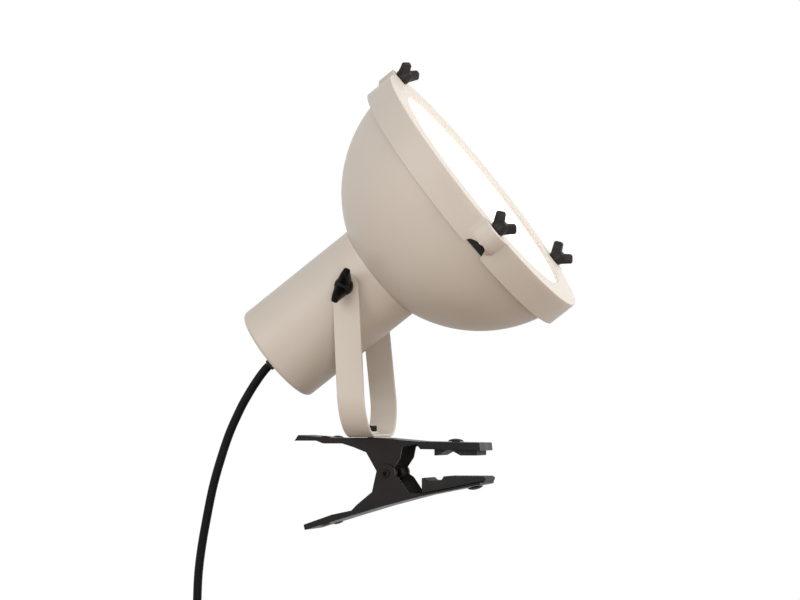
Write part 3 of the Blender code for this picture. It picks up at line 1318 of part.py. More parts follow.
def build():
    for thing in list(bpy.data.objects):
        bpy.data.objects.remove(thing)
    lower_frame = empty("clip_hinge", (PIN_X, 0, PIN_Z))
    swivel_frame = empty("yoke_swivel", (SWIVEL_X, 0, 0))
    head_frame = empty("head_tilt", PIVOT, (0, math.pi / 2 - HEAD_LIFT, 0))
    rocker_frame = empty("rocker_hinge", (0, 0, 0), parent=swivel_frame)

    clip_upper()
    upper_pad()
    clip_pin()
    clip_spring(lower_frame)
    swivel_fixing()
    clip_lower(lower_frame)
    lower_pad(lower_frame)

    yoke_strap(swivel_frame)
    bowl_shell(head_frame)
    tail_housing(head_frame)
    friction_washers(head_frame)
    front_ring(head_frame)
    pane_and_gasket(head_frame)
    for name, angle in BOSS_ANGLES.items():
        stud(name, angle, head_frame)
        wing_nut(name, angle, NUT_TURNS[name], head_frame)
    for name, side in (("near", -1), ("far", 1)):
        wing_screw(name, side, head_frame)
    lamp_holder(head_frame)
    bulb(head_frame)
    nose = cord_gland(head_frame)

    switch_top = free_lead(swivel_frame, head_frame, nose)
    switch_end = inline_switch(swivel_frame, switch_top, rocker_frame)
    lead_end = coiled_lead(swivel_frame, switch_end)
    plug(swivel_frame, lead_end)


build()
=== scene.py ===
"""Looks of the clip-on reading lamp: painted head and yoke, black clip, lead and plug."""

import json
import math

import bmesh
import bpy
import numpy as np
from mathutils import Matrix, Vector

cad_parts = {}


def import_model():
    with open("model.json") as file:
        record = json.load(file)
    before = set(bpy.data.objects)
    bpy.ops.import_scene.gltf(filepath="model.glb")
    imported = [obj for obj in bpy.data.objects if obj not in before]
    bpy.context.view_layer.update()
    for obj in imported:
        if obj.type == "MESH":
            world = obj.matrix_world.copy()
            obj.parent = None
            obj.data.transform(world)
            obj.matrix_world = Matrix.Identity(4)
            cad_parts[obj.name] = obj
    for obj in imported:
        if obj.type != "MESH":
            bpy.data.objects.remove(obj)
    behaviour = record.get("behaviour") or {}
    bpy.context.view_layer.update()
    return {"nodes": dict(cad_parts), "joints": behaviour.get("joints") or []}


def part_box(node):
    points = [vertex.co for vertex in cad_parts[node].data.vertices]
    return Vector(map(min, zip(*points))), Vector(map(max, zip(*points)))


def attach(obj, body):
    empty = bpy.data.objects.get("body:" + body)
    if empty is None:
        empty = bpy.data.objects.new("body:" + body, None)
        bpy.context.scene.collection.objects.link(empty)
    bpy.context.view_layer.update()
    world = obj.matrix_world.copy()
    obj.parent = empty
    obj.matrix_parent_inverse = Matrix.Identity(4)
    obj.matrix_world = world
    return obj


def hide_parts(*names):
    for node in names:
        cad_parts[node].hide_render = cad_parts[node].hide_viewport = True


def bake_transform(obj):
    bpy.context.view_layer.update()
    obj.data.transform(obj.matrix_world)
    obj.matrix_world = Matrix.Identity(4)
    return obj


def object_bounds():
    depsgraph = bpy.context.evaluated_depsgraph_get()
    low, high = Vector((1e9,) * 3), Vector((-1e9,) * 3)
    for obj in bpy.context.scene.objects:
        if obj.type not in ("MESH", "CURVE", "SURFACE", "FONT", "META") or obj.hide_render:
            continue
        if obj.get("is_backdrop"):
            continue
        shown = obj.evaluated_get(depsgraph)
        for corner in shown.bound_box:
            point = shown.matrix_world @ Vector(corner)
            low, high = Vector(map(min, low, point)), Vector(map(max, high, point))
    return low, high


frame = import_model()

MM = 0.001
joints = {joint["name"]: joint for joint in frame["joints"]}

# The head's own axes: Z runs forwards through the ring, X points to its lower side.
PIVOT = np.array(joints["head_tilt"]["pos_m"], float)
HEAD_Z = np.array(joints["nut_top_turn"]["axis"], float)
HEAD_Z /= np.linalg.norm(HEAD_Z)
HEAD_Y = np.array([0.0, 1.0, 0.0])
HEAD = np.stack([np.cross(HEAD_Y, HEAD_Z), HEAD_Y, HEAD_Z])

# Sizes in millimetres, nearly all the same as the solids'.
# Head: front ring with a black ring of painted shade behind it, bowl, glass and tail. Heights run
# forwards from the pivot.
RING_RADIUS = 82.5
RING_FRONT = 91.0
RING_REAR = 74.0
RING_OPENING = 66.5
RING_WALL = 1.5
RING_FLANGE = 2.0
RING_EDGE = 0.8
RING_STEP = 1.5  # degrees between columns, away from the bosses
LEDGE_EDGE = 0.7
BOSS_ANGLES = {"top": -4.0, "near": 116.0, "far": -124.0}
BOSS_CENTRE = 78.3
BOSS_RADIUS = 10.0
BOSS_RIDGE = 10.0
BOSS_FADE = 6.5
BOSS_TAPER = 1.1
BOSS_FILLET = 0.4
BOSS_SPAN = 8.0  # degrees each way
BOSS_STEPS = 64
MOUSE_HOLE = 6.8
# Black ring of painted shade in the gap between bowl and ring and in the mouse holes.
SHADE_RING_SET_IN = 1.5
SHADE_RING_RECESS = 1.9
SHADE_RING_LAP = 0.6
SHADE_RING_GAP = 0.2
SHADE_RING_EDGE = 0.4

BOWL_RADIUS = 78.0
BOWL_WALL = 1.5
BOWL_RIM = 83.1
BOWL_RIM_EDGE = 0.5
BOWL_FLOOR = 14.46
BOWL_BEND = 26.0
BOWL_HOLE = 20.0
BOWL_CENTRE = BOWL_FLOOR + math.sqrt(BOWL_RADIUS**2 - BOWL_BEND**2)
LIP_INNER = 72.0
STUD_CENTRE = 81.5
LUG_CENTRE = 76.4
LUG_RADIUS = 7.8
LUG_ROOT = 1.2  # how far its root reaches inside the lip
LUG_EDGE = 0.3
LUG_GAP = 0.1
GLASS = 3.0
GLASS_RADIUS = 76.0
GLASS_FRONT = 88.7
GLASS_EDGE = 0.6
TAIL_RADIUS = 29.75
TAIL_WALL = 2.0
TAIL_REAR = -61.75
TAIL_EDGE = 2.5
TAIL_LIP = 0.4
TAIL_GAP = 0.05
TAIL_FLANGE_GAP = 0.3
PIVOT_BOSS_RADIUS = 7.0
PIVOT_BOSS_DEPTH = 6.4
PIVOT_BOSS_EDGE = 0.6
PIVOT_BOSS_Y = 30.4
PIVOT_HOLE = 2.8

# Yoke.
STRAP_WIDTH = 15.5
STRAP = 2.0
STRAP_EDGE = 0.7
LEG_INNER_Y = 31.7
LEG_STRAIGHT = 12.0
YOKE_BEND = 19.3
YOKE_FLAT_HALF = 17.9
YOKE_RAKE = math.radians(4.3)

# Wing nuts and knobs, turned in degrees.
NUT_TURNS = {"top": 60.0, "near": 90.0, "far": 124.0}
NUT_GAP = 0.3
NUT_HUB_RADIUS = 4.5
NUT_HUB_HEIGHT = 6.3
NUT_TIP_REACH = 5.1
NUT_TIP_HEIGHT = 6.8
NUT_WING = 2.6
KNOB_WING = 4.0
KNOB_TURN = 67.0
KNOB_SEAT_Y = 34.0
KNOB_HUB_RADIUS = 5.2
KNOB_HUB_HEIGHT = 6.0
KNOB_TIP_REACH = 7.2
KNOB_TIP_HEIGHT = 8.6
SHANK_GAP = 0.3
SHANK_PAST_BOSS = 0.5
EAR_FOOT = 0.6
EAR_TIP = 2.8
EAR_FLARE = 0.95
EAR_EDGE = 0.34  # share of its thickness
EAR_CORNER = 1.5
EAR_LEAN = 52.0  # degrees
EAR_SWEEP = (-55.0, 150.0)  # degrees, from its outer side over its end to the inner one
HUB_EDGE = 0.5
HUB_DOME = [  # shares of the hub's radius and height
    (1.0, 0.45), (0.93, 0.75), (0.78, 0.95), (0.6, 1.0), (0.0, 1.0),
]

# Clip.
RIVET_HEAD = 1.1
RIVET_SHANK = 1.6
RIVET_HOLLOW = 1.1
RIVET_HOLLOW_DEPTH = 3.0
RIVET_MOUTH = 0.3
RIVET_EDGE = 0.6
RIVET_ROLL = 0.25
WIDEST_BEVEL = 0.25  # metres: held to the most that each solid's own faces leave room for
BEVEL_ANGLE = 40.0  # degrees: sharper edges are rounded

# Strain relief, lead, coil, switch, tie and plug.
GLAND_DROP = 2.0
GLAND_GAP = 0.3
GLAND_NECK = 4.0
GLAND_HOLE = 4.3
GLAND_FLANGE = 6.0
GLAND_LIP = 2.0
GLAND_INSIDE = 14.0
GLAND_NOSE = 6.85
GLAND_FACE = 1.1
GLAND_FACE_CURVE = [  # from the flange's outer edge: radius and height
    (-0.2, 0.0), (0.0, -0.25), (-0.1, -0.7), (-0.6, -1.0),
]
GLAND_RIBS = 3
GLAND_RIB_DEPTH = 0.22
GLAND_RIB_FLOOR = -0.3  # share of the depth where the hollows are cut off
GLAND_ROOT = 0.4
GLAND_TIP = 0.3
LEAD_RADIUS = 2.5
LEAD_STEP = 3.0
LEAD_ROUTE = [  # (x, z) down to the switch
    (-123.0, 47.0), (-128.0, 40.1), (-132.3, 33.3), (-136.2, 26.4), (-142.6, 12.7),
    (-148.0, -2.7), (-152.5, -18.3), (-156.1, -35.4), (-159.2, -52.6), (-161.1, -67.8),
    (-161.8, -83.2), (-161.8, -97.0),
]
LEAD_SHIFT_START = -150.0  # height where the lead starts to move to the coil's outer cell
LEAD_SHIFT_RUN = 34.0
LEAD_BULGE = 0.8
LEAD_DROP_WAIT = 0.1  # share of the drop before it moves back to the middle
LEAD_END_GAP = 0.3
COIL_RADIUS = 26.5
COIL_PITCH = 5.2
COIL_CELLS = [  # (out, across) in the order wound
    (2, 2), (2, 1), (1, 1), (1, 2), (0, 2), (0, 1), (0, 0), (1, 0), (2, 0),
]
COIL_TURN_STEPS = 60
MOVE_START = 230.0  # degrees wound
MOVE_EVERY = 330.0
MOVE_TAKES = 120.0
SWITCH_CORNER = 7.0
SWITCH_EDGE = 3.2
SWITCH_WELL = 3.0
SWITCH_SEAM = 0.15
WINDOW_CORNER = 1.2
WINDOW_LIP = 0.8
WINDOW_EDGE = 0.3
ROCKER_WIDTH = 9.0
ROCKER_LENGTH = 17.0
ROCKER_GAPS = (0.4, 0.6)  # beside it and at its ends
TIE = 0.9
TIE_WIDTH = 8.0
TIE_CORNER = 3.5
TIE_EDGE = 0.36
PLUG_NECK = 4.6
PLUG_SHOULDER = 14.0
PLUG_CORNER = 4.0
PLUG_EDGE = 2.6
PLUG_COLLAR = 10.0
COLLAR_GAP = 0.05
COLLAR_TIP = 0.5
COLLAR_GROWS = 1.3
COLLAR_RIBS = 4
COLLAR_RIB_DEPTH = 0.25
COLLAR_SUNK = 1.5
PIN_TIP = [  # share of the pin's radius, and height from its end
    (1.0, 1.6), (0.8, 0.6), (0.4, 0.1), (0.0, 0.0),
]
SLEEVE = 9.5
SLEEVE_PROUD = 0.05
SLEEVE_SUNK = 0.3
SLEEVE_TAPER = 0.1

# How many facets go round each turned shape.
BOWL_FACETS = 192
GLASS_FACETS = 160
TAIL_FACETS = 128
SMALL_FACETS = 48
RIVET_FACETS = 40
PIN_FACETS = 32
LEAD_FACETS = 16
FLOOR_FACETS = 96

# Camera, lamps and floor: angles in degrees, distances and sizes in metres.
LENS = 127.17
SENSOR = 36.0
VIEW = (13.33, -2.5, 1.6)  # azimuth, elevation and distance
AIM = Vector(PIVOT) + Vector((23.66, 0.0, -6.56)) * MM
WHITE = (1.0, 1.0, 1.0, 1.0)
WARM_WHITE = (1.0, 0.99, 0.975, 1.0)
LAMPS = {  # azimuth, elevation, distance, size, power, colour
    "key": (-34, 16, 2.0, 1.6, 18.0, WHITE[:3]),
    "right": (95, 30, 1.8, 1.2, 32.0, WHITE[:3]),
    "fill": (60, 4, 2.2, 1.6, 3.0, WHITE[:3]),
    "low": (18, -4, 1.5, 0.4, 5.0, (1.0, 0.955, 0.905)),
}
GLASS_GLOW = 0.8
WORLD_LIGHT = 0.40
FLOOR_RADIUS = 1.3
FLOOR_GAP = 0.0006
FLOOR_FADE = (0.25, FLOOR_RADIUS * 0.75)
FLOOR_PAPER = (0.93, 0.925, 0.915, 1.0)
FLOOR_BOUNCE = (0.31, 0.237, 0.178, 1.0)  # what lights the object from below


def box_mm(node):
    """A CAD node's lowest and highest corners in millimetres."""
    return np.array([list(corner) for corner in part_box(node)], float) / MM


def in_head(points):
    """Head coordinates in millimetres to the lamp's in metres."""
    return PIVOT + np.asarray(points) @ HEAD * MM


def beside_pivot(side, turn=0.0, seat=0.0):
    """Places a shape drawn about Z along the tilt axis, turned about it in degrees.

    Its foot stands at a distance from the middle, in millimetres.
    """
    t = math.radians(turn)
    u = np.array([math.cos(t), 0.0, math.sin(t)])
    w = np.array([0.0, side, 0.0])
    axes = np.stack([u, np.cross(w, u), w])
    return lambda points: PIVOT + (np.asarray(points) + [0.0, 0.0, seat]) @ axes * MM


def moved(offset):
    """Places a shape drawn about Z at an offset in millimetres."""
    return lambda points: (np.asarray(points) + offset) * MM


# -------- camera

def linked(name, data):
    """A new object at the origin, in the scene."""
    made = bpy.data.objects.new(name, data)
    bpy.context.scene.collection.objects.link(made)
    return made


def facing_head(data, azimuth, elevation, distance):
    """A camera or lamp on a sphere round the aim point, facing it.

    Azimuth 0 is in front and 90 on the right; elevation is up from level.
    """
    a = math.radians(azimuth)
    e = math.radians(elevation)
    away = Vector((math.sin(a) * math.cos(e), -math.cos(a) * math.cos(e), math.sin(e)))
    made = linked(data.name, data)
    made.location = AIM + away * distance
    made.rotation_euler = away.to_track_quat("Z", "Y").to_euler()
    return made


def add_camera():
    """Camera a little to the right of the front and just below level."""
    data = bpy.data.cameras.new("view")
    data.lens = LENS
    data.sensor_width = SENSOR
    data.clip_end = 50.0
    bpy.context.scene.camera = facing_head(data, *VIEW)
    bpy.context.scene.view_settings.view_transform = "Standard"


# -------- meshes

def unit(vectors):
    """Vectors made one long, along the last axis."""
    return vectors / np.maximum(np.linalg.norm(vectors, axis=-1, keepdims=True), 1e-9)


def eased(t):
    """Smooth step from 0 to 1."""
    t = np.clip(t, 0, 1)
    return t * t * (3 - 2 * t)


def grid_mesh(points, along=False):
    """Mesh of a grid of points (rows, columns, 3), each row closed; along closes the columns."""
    rows, columns = points.shape[:2]
    index = np.arange(rows * columns).reshape(rows, columns)
    index = np.concatenate([index, index[:, :1]], axis=1)
    if along:
        index = np.concatenate([index, index[:1]], axis=0)
    quads = np.stack([index[:-1, :-1], index[:-1, 1:], index[1:, 1:], index[1:, :-1]], axis=-1)
    mesh = bpy.data.meshes.new("grid")
    mesh.from_pydata(points.reshape(-1, 3).tolist(), [], quads.reshape(-1, 4).tolist())
    return mesh


def surface(points, along=False):
    """A grid's mesh with doubles merged, open ends filled, and every face turned outwards.

    A row whose points all fall together becomes a pole.
    """
    mesh = grid_mesh(points, along)
    body = bmesh.new()
    body.from_mesh(mesh)
    bmesh.ops.remove_doubles(body, verts=body.verts, dist=1e-6)
    rims = [edge for edge in body.edges if edge.is_boundary]
    if rims:
        bmesh.ops.holes_fill(body, edges=rims)
    bmesh.ops.recalc_face_normals(body, faces=body.faces)
    if body.calc_volume(signed=True) < 0:
        bmesh.ops.reverse_faces(body, faces=body.faces)
    body.to_mesh(mesh)
    body.free()
    return mesh


def joined(meshes):
    """Several closed meshes as one."""
    shape = bmesh.new()
    for mesh in meshes:
        shape.from_mesh(mesh)
        bpy.data.meshes.remove(mesh)
    whole = bpy.data.meshes.new("joined")
    shape.to_mesh(whole)
    shape.free()
    return whole


def piece(name, mesh, body, material, replaced, sharp):
    """Make a mesh a named piece on a CAD body, material and what it replaces."""
    mesh.name = name
    mesh.shade_smooth()
    mesh.set_sharp_from_angle(angle=math.radians(sharp))
    made = linked(name, mesh)
    mesh.materials.clear()
    mesh.materials.append(material)
    if body:
        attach(made, body)
    if replaced:
        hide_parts(*replaced)
    return made


def arc(centre, radius, start, end, steps):
    """Points on a circle from one angle to another, in degrees, as (steps + 1, 2)."""
    turn = np.radians(np.linspace(start, end, steps + 1))
    return np.stack([centre[0] + radius * np.cos(turn), centre[1] + radius * np.sin(turn)], 1)


def rounded(corners, radius, steps):
    """A closed outline with every corner rounded.

    Each corner is swapped for a quadratic curve that starts and ends `radius` away from it,
    or at the middle of a side that is shorter than two of them.
    """
    before = np.roll(corners, 1, axis=0)
    after = np.roll(corners, -1, axis=0)

    def towards(other):
        """Points on the sides to the other corners, at the radius or just short of half way."""
        way = other - corners
        length = np.linalg.norm(way, axis=1, keepdims=True)
        return corners + way / length * np.minimum(radius, length * 0.499)

    start = towards(before)[:, None]
    end = towards(after)[:, None]
    t = np.linspace(0, 1, steps + 1)[None, :, None]
    curve = (1 - t) ** 2 * start + 2 * t * (1 - t) * corners[:, None] + t * t * end
    return curve.reshape(-1, 2)


def rounded_rectangle(half_u, half_v, radius, steps):
    """Closed outline of a rectangle about the origin, each corner an arc."""
    radius = min(radius, half_u * 0.98, half_v * 0.98)
    corners = [(1, 1, 0), (-1, 1, 90), (-1, -1, 180), (1, -1, 270)]
    return np.vstack([
        arc((u * (half_u - radius), v * (half_v - radius)), radius, start, start + 90, steps)
        for u, v, start in corners
    ])


def inset_outline(outline, inset):
    """A closed outline moved inwards along its own normals."""
    after = np.roll(outline, -1, axis=0)
    along = unit(unit(after - outline) + unit(outline - np.roll(outline, 1, axis=0)))
    inwards = np.stack([-along[:, 1], along[:, 0]], 1)
    turning = outline[:, 0] @ after[:, 1] - outline[:, 1] @ after[:, 0]
    return outline + inwards * inset * (1 if turning > 0 else -1)


def slab(outline, low, high, edge, steps=4):
    """Rows of a flat outline from one height to another, both rims rounded by a quarter circle."""
    turns = np.radians(np.linspace(0, 90, steps + 1))
    inset = edge * (1 - np.sin(turns))
    rise = edge * (1 - np.cos(turns))
    rows = [*zip(inset, low + rise), *zip(inset[::-1], high - rise[::-1])]
    return np.array([
        np.column_stack([inset_outline(outline, shrunk), np.full(len(outline), height)])
        for shrunk, height in rows
    ])


def turned(profile, facets, to_place, ring=True):
    """A (radius, height) profile carried round Z, then put in place; ring closes the profile."""
    profile = np.asarray(profile, float)
    turn = np.linspace(0, 2 * np.pi, facets, endpoint=False)
    points = np.empty((len(profile), facets, 3))
    points[..., 0] = profile[:, :1] * np.cos(turn)
    points[..., 1] = profile[:, :1] * np.sin(turn)
    points[..., 2] = profile[:, 1:]
    return surface(to_place(points), along=ring)


def tube(line, radius, sides):
    """A round tube along a line, its section turned as little as possible from point to point."""
    along = unit(np.gradient(line, axis=0))
    side = np.empty_like(along)
    side[0] = unit(np.cross(along[0], HEAD_Y))
    for i in range(1, len(line)):
        side[i] = unit(side[i - 1] - along[i] * (side[i - 1] @ along[i]))
    other = np.cross(along, side)
    turn = np.linspace(0, 2 * np.pi, sides, endpoint=False)[None, :, None]
    return line[:, None] + radius * (side[:, None] * np.cos(turn) + other[:, None] * np.sin(turn))


def smooth_line(route, step):
    """Points about every step along a Catmull-Rom curve through the route's points."""
    route = np.asarray(route, float)
    ends = np.vstack([2 * route[0] - route[1], route, 2 * route[-1] - route[-2]])
    t = np.linspace(0, 1, 24, endpoint=False)[:, None]
    runs = []
    for before, start, end, after in zip(ends, ends[1:], ends[2:], ends[3:]):
        bend = (2 * before - 5 * start + 4 * end - after) * t**2
        swing = (3 * start - before - 3 * end + after) * t**3
        runs.append((2 * start + (end - before) * t + bend + swing) / 2)
    fine = np.vstack([*runs, route[-1:]])
    walked = np.concatenate([[0], np.cumsum(np.linalg.norm(np.diff(fine, axis=0), axis=1))])
    stops = np.linspace(0, walked[-1], max(2, round(walked[-1] / step)) + 1)
    return np.stack([np.interp(stops, walked, fine[:, i]) for i in range(3)], 1)


def stand_in(node, name, body, material, sharp):
    """A CAD solid's own planes as a piece, its doubles merged and its flat faces joined."""
    mesh = bpy.data.meshes.new(node)
    shape = bmesh.new()
    shape.from_mesh(frame["nodes"][node].data)
    bmesh.ops.remove_doubles(shape, verts=shape.verts, dist=2e-6)
    bmesh.ops.dissolve_limit(shape, angle_limit=math.radians(1.0), verts=shape.verts,
                             edges=shape.edges)
    shape.to_mesh(mesh)
    shape.free()
    return piece(name, mesh, body, material, [node], sharp)


def softened(node, name, body, material):
    """A finer stand-in for a pressed or moulded solid: every edge rounded as far as it can be."""
    made = stand_in(node, name, body, material, BEVEL_ANGLE)
    bevel = made.modifiers.new("edges", "BEVEL")
    bevel.width = WIDEST_BEVEL
    bevel.segments = 3
    bevel.limit_method = "ANGLE"
    bevel.angle_limit = math.radians(BEVEL_ANGLE)
    bevel.harden_normals = True
    return made


def finer(node, name, body, material, sharp):
    """A rounder stand-in for a turned or bent solid: one level of subdivision."""
    made = stand_in(node, name, body, material, sharp)
    smooth = made.modifiers.new("rounder", "SUBSURF")
    smooth.levels = 1
    smooth.render_levels = 1
    return made


# -------- materials

def node_group(name, output, kind, **inputs):
    """An empty shader node group with named sockets, its inputs' sockets, and its output's."""
    group = bpy.data.node_groups.new(name, "ShaderNodeTree")
    for label, input_kind in inputs.items():
        group.interface.new_socket(label, in_out="INPUT", socket_type="NodeSocket" + input_kind)
    group.interface.new_socket(output, in_out="OUTPUT", socket_type="NodeSocket" + kind)
    given = group.nodes.new("NodeGroupInput").outputs
    return group, given, group.nodes.new("NodeGroupOutput").inputs[output]


def add(tree, kind, links=None, **settings):
    """Add a node, set its properties, then fill its inputs from sockets or values."""
    node = tree.nodes.new(kind)
    for key, value in settings.items():
        setattr(node, key, value)
    for label, source in (links or {}).items():
        socket = node.inputs[label]
        if isinstance(source, bpy.types.NodeSocket):
            tree.links.new(source, socket)
        else:
            socket.default_value = source
    return node


def math_node(tree, operation, *inputs, kind="ShaderNodeMath"):
    """The first output of a math node, or of a vector one."""
    return add(tree, kind, dict(enumerate(inputs)), operation=operation).outputs[0]


def noise(tree, size, detail, **more):
    """Noise over the piece's own coordinates, about 0.3 to 0.7."""
    place = add(tree, "ShaderNodeTexCoord").outputs["Object"]
    links = {"Vector": place, "Scale": size, "Detail": detail, **more}
    return add(tree, "ShaderNodeTexNoise", links).outputs["Fac"]


def swing(tree, fac):
    """Noise stretched to run from -1 to 1."""
    return add(tree, "ShaderNodeMapRange", {"Value": fac, "From Min": 0.3, "From Max": 0.7,
                                            "To Min": -1.0, "To Max": 1.0}).outputs[0]


def mottle_group():
    """Slow change of shade: a colour's value times one plus a share of the noise's swing."""
    group, given, result = node_group("mottle", "Colour", "Color",
                                      Colour="Color", Size="Float", Amount="Float")
    uneven = swing(group, noise(group, given["Size"], 4.0, Roughness=0.55))
    value = math_node(group, "ADD", math_node(group, "MULTIPLY", uneven, given["Amount"]), 1.0)
    shade = add(group, "ShaderNodeHueSaturation", {"Color": given["Colour"], "Value": value})
    group.links.new(shade.outputs["Color"], result)
    return group


def relief_group():
    """Fine relief: a share of two sizes of noise as one bumped normal, its depth in metres."""
    group, given, result = node_group("relief", "Normal", "Vector",
                                      Coarse="Float", Fine="Float", Share="Float", Depth="Float")
    mix = add(group, "ShaderNodeMix", {"Factor": given["Share"],
                                       "A": noise(group, given["Coarse"], 2.0),
                                       "B": noise(group, given["Fine"], 3.0)})
    bump = add(group, "ShaderNodeBump", {"Height": mix.outputs["Result"],
                                         "Distance": given["Depth"], "Strength": 1.0})
    group.links.new(bump.outputs["Normal"], result)
    return group


def wear_group():
    """Rough-to-smooth variation: a roughness plus a share of the noise's swing."""
    group, given, result = node_group("wear", "Roughness", "Float",
                                      Roughness="Float", Size="Float", Amount="Float")
    uneven = swing(group, noise(group, given["Size"], 6.0, Roughness=0.65))
    group.links.new(math_node(group, "MULTIPLY_ADD", uneven, given["Amount"],
                              given["Roughness"]), result)
    return group


MOTTLE = mottle_group()
RELIEF = relief_group()
WEAR = wear_group()


def finish(name, colour, mottle, rough, relief, **principled):
    """A Principled material with mottled colour, uneven roughness and fine relief.

    The values are the groups' inputs in turn: size and amount of the mottle; roughness, size
    and amount of the wear; coarse and fine size, share and depth of the relief.
    """
    made = bpy.data.materials.new(name)
    made.use_nodes = True
    tree = made.node_tree
    shader = tree.nodes["Principled BSDF"]
    effects = [(MOTTLE, ((*colour, 1.0), *mottle), "Base Color"), (WEAR, rough, "Roughness"),
               (RELIEF, relief, "Normal")]
    for group, values, target in effects:
        effect = add(tree, "ShaderNodeGroup", node_tree=group)
        for socket, value in zip(effect.inputs, values):
            socket.default_value = value
        tree.links.new(effect.outputs[0], shader.inputs[target])
    for label, value in principled.items():
        shader.inputs[label.replace("_", " ")].default_value = value
    return made


def moulded(name, colour, roughness, specular):
    """Black plastic with the fine grain of a mould."""
    return finish(name, colour, mottle=(80.0, 0.12), rough=(roughness, 120.0, 0.06),
                  relief=(900.0, 3000.0, 0.6, 2.4e-5), Specular_IOR_Level=specular)


def plated(name, colour, mottle, rough, depth):
    """Bright metal plating with a faint grain."""
    return finish(name, colour, mottle, rough, (500.0, 2200.0, 0.5, depth), Metallic=1.0)


PAINT = finish("beige_powder_paint", (0.60, 0.54, 0.475), mottle=(18.0, 0.018),
               rough=(0.42, 45.0, 0.05), relief=(420.0, 1400.0, 0.4, 2.2e-5),
               Coat_Weight=0.05, Coat_Roughness=0.3, Specular_IOR_Level=0.25)
STEEL = finish("black_coated_steel", (0.0098, 0.0077, 0.0071), mottle=(60.0, 0.25),
               rough=(0.4, 90.0, 0.08), relief=(700.0, 2500.0, 0.5, 1.6e-5),
               Specular_IOR_Level=0.14)
YELLOW_ZINC = plated("yellow_zinc_plating", (0.021, 0.016, 0.0095), (120.0, 0.3),
                     (0.36, 150.0, 0.08), 1e-5)
ZINC = plated("zinc_plating", (0.52, 0.51, 0.49), (90.0, 0.08), (0.34, 150.0, 0.08), 8e-6)
NICKEL = plated("nickel_plating", (0.62, 0.6, 0.56), (90.0, 0.04), (0.2, 200.0, 0.05), 4e-6)
PLASTIC = moulded("black_moulded_plastic", (0.0085, 0.007, 0.0068), 0.42, 0.17)
# One black plastic for knobs and nuts: darker on the knobs as painted shade, lighter on the nuts
# as painted light.
KNOB_PLASTIC_PAINTED_SHADE = moulded("black_plastic_painted_shade_knobs", (0.0035, 0.0028, 0.0025), 0.38, 0.08)
NUT_PLASTIC_PAINTED_LIGHT = moulded("black_plastic_painted_light_nuts", (0.0125, 0.0100, 0.0088), 0.42, 0.22)
RUBBER = finish("black_rubber", (0.010, 0.0095, 0.009), mottle=(70.0, 0.2),
                rough=(0.62, 90.0, 0.08), relief=(600.0, 2600.0, 0.6, 4e-5),
                Specular_IOR_Level=0.22)
LEAD = finish("black_pvc_lead", (0.0042, 0.0042, 0.0044), mottle=(50.0, 0.12),
              rough=(0.45, 60.0, 0.06), relief=(400.0, 1800.0, 0.4, 1.5e-5),
              Specular_IOR_Level=0.07)
PORCELAIN = finish("porcelain", (0.82, 0.8, 0.75), mottle=(30.0, 0.03),
                   rough=(0.16, 60.0, 0.04), relief=(120.0, 900.0, 0.3, 3e-5), Coat_Weight=0.5)
OPAL = finish("opal_glass", (0.9, 0.89, 0.86), mottle=(20.0, 0.02),
              rough=(0.12, 60.0, 0.03), relief=(60.0, 400.0, 0.3, 2e-5))
# Lit from behind: bright all over, with no hot spot.
FROSTED = finish("frosted_glass", (0.95, 0.94, 0.92), mottle=(40.0, 0.05),
                 rough=(0.5, 80.0, 0.05), relief=(900.0, 3000.0, 0.5, 1e-5),
                 Emission_Color=WARM_WHITE, Emission_Strength=GLASS_GLOW)


def dress_solids():
    """Finishes for the CAD solids that stay as they are."""
    finishes = {
        RUBBER: ["glass_gasket"],
        ZINC: ["stud_top", "stud_near", "stud_far", "holder_bracket", "bracket_screw_near",
               "bracket_screw_far", "bulb_cap", "base_washer"],
        PLASTIC: ["friction_washer_near", "friction_washer_far"],
        PORCELAIN: ["lamp_holder"],
        OPAL: ["bulb_globe"],
        LEAD: ["inner_lead"],
    }
    for material, nodes in finishes.items():
        for node in nodes:
            for slot in frame["nodes"][node].material_slots:
                slot.material = material


# -------- painted head

def ring_turns():
    """Angles round the ring, closer together near each boss, and each one's turn from its boss."""
    bosses = np.array(list(BOSS_ANGLES.values()))

    def from_boss(angles):
        """Each angle's signed turn from the boss that is nearest."""
        turns = (angles[:, None] - bosses + 180) % 360 - 180
        return turns[np.arange(len(angles)), np.abs(turns).argmin(axis=1)]

    wide = np.arange(0, 360, RING_STEP)
    wide = wide[np.abs(from_boss(wide)) > BOSS_SPAN + RING_STEP / 3]
    close = (bosses[:, None] + np.linspace(-BOSS_SPAN, BOSS_SPAN, BOSS_STEPS + 1)).ravel() % 360
    angles = np.sort(np.concatenate([wide, close]))
    return np.radians(angles), np.radians(from_boss(angles))


def round_ring(rows, turn):
    """Closed surface of rows round the ring's axis, each a radius and a height at every angle."""
    points = np.array([[-r * np.cos(turn), -r * np.sin(turn), s + 0 * turn] for r, s in rows])
    return surface(in_head(points.transpose(0, 2, 1)), along=True)


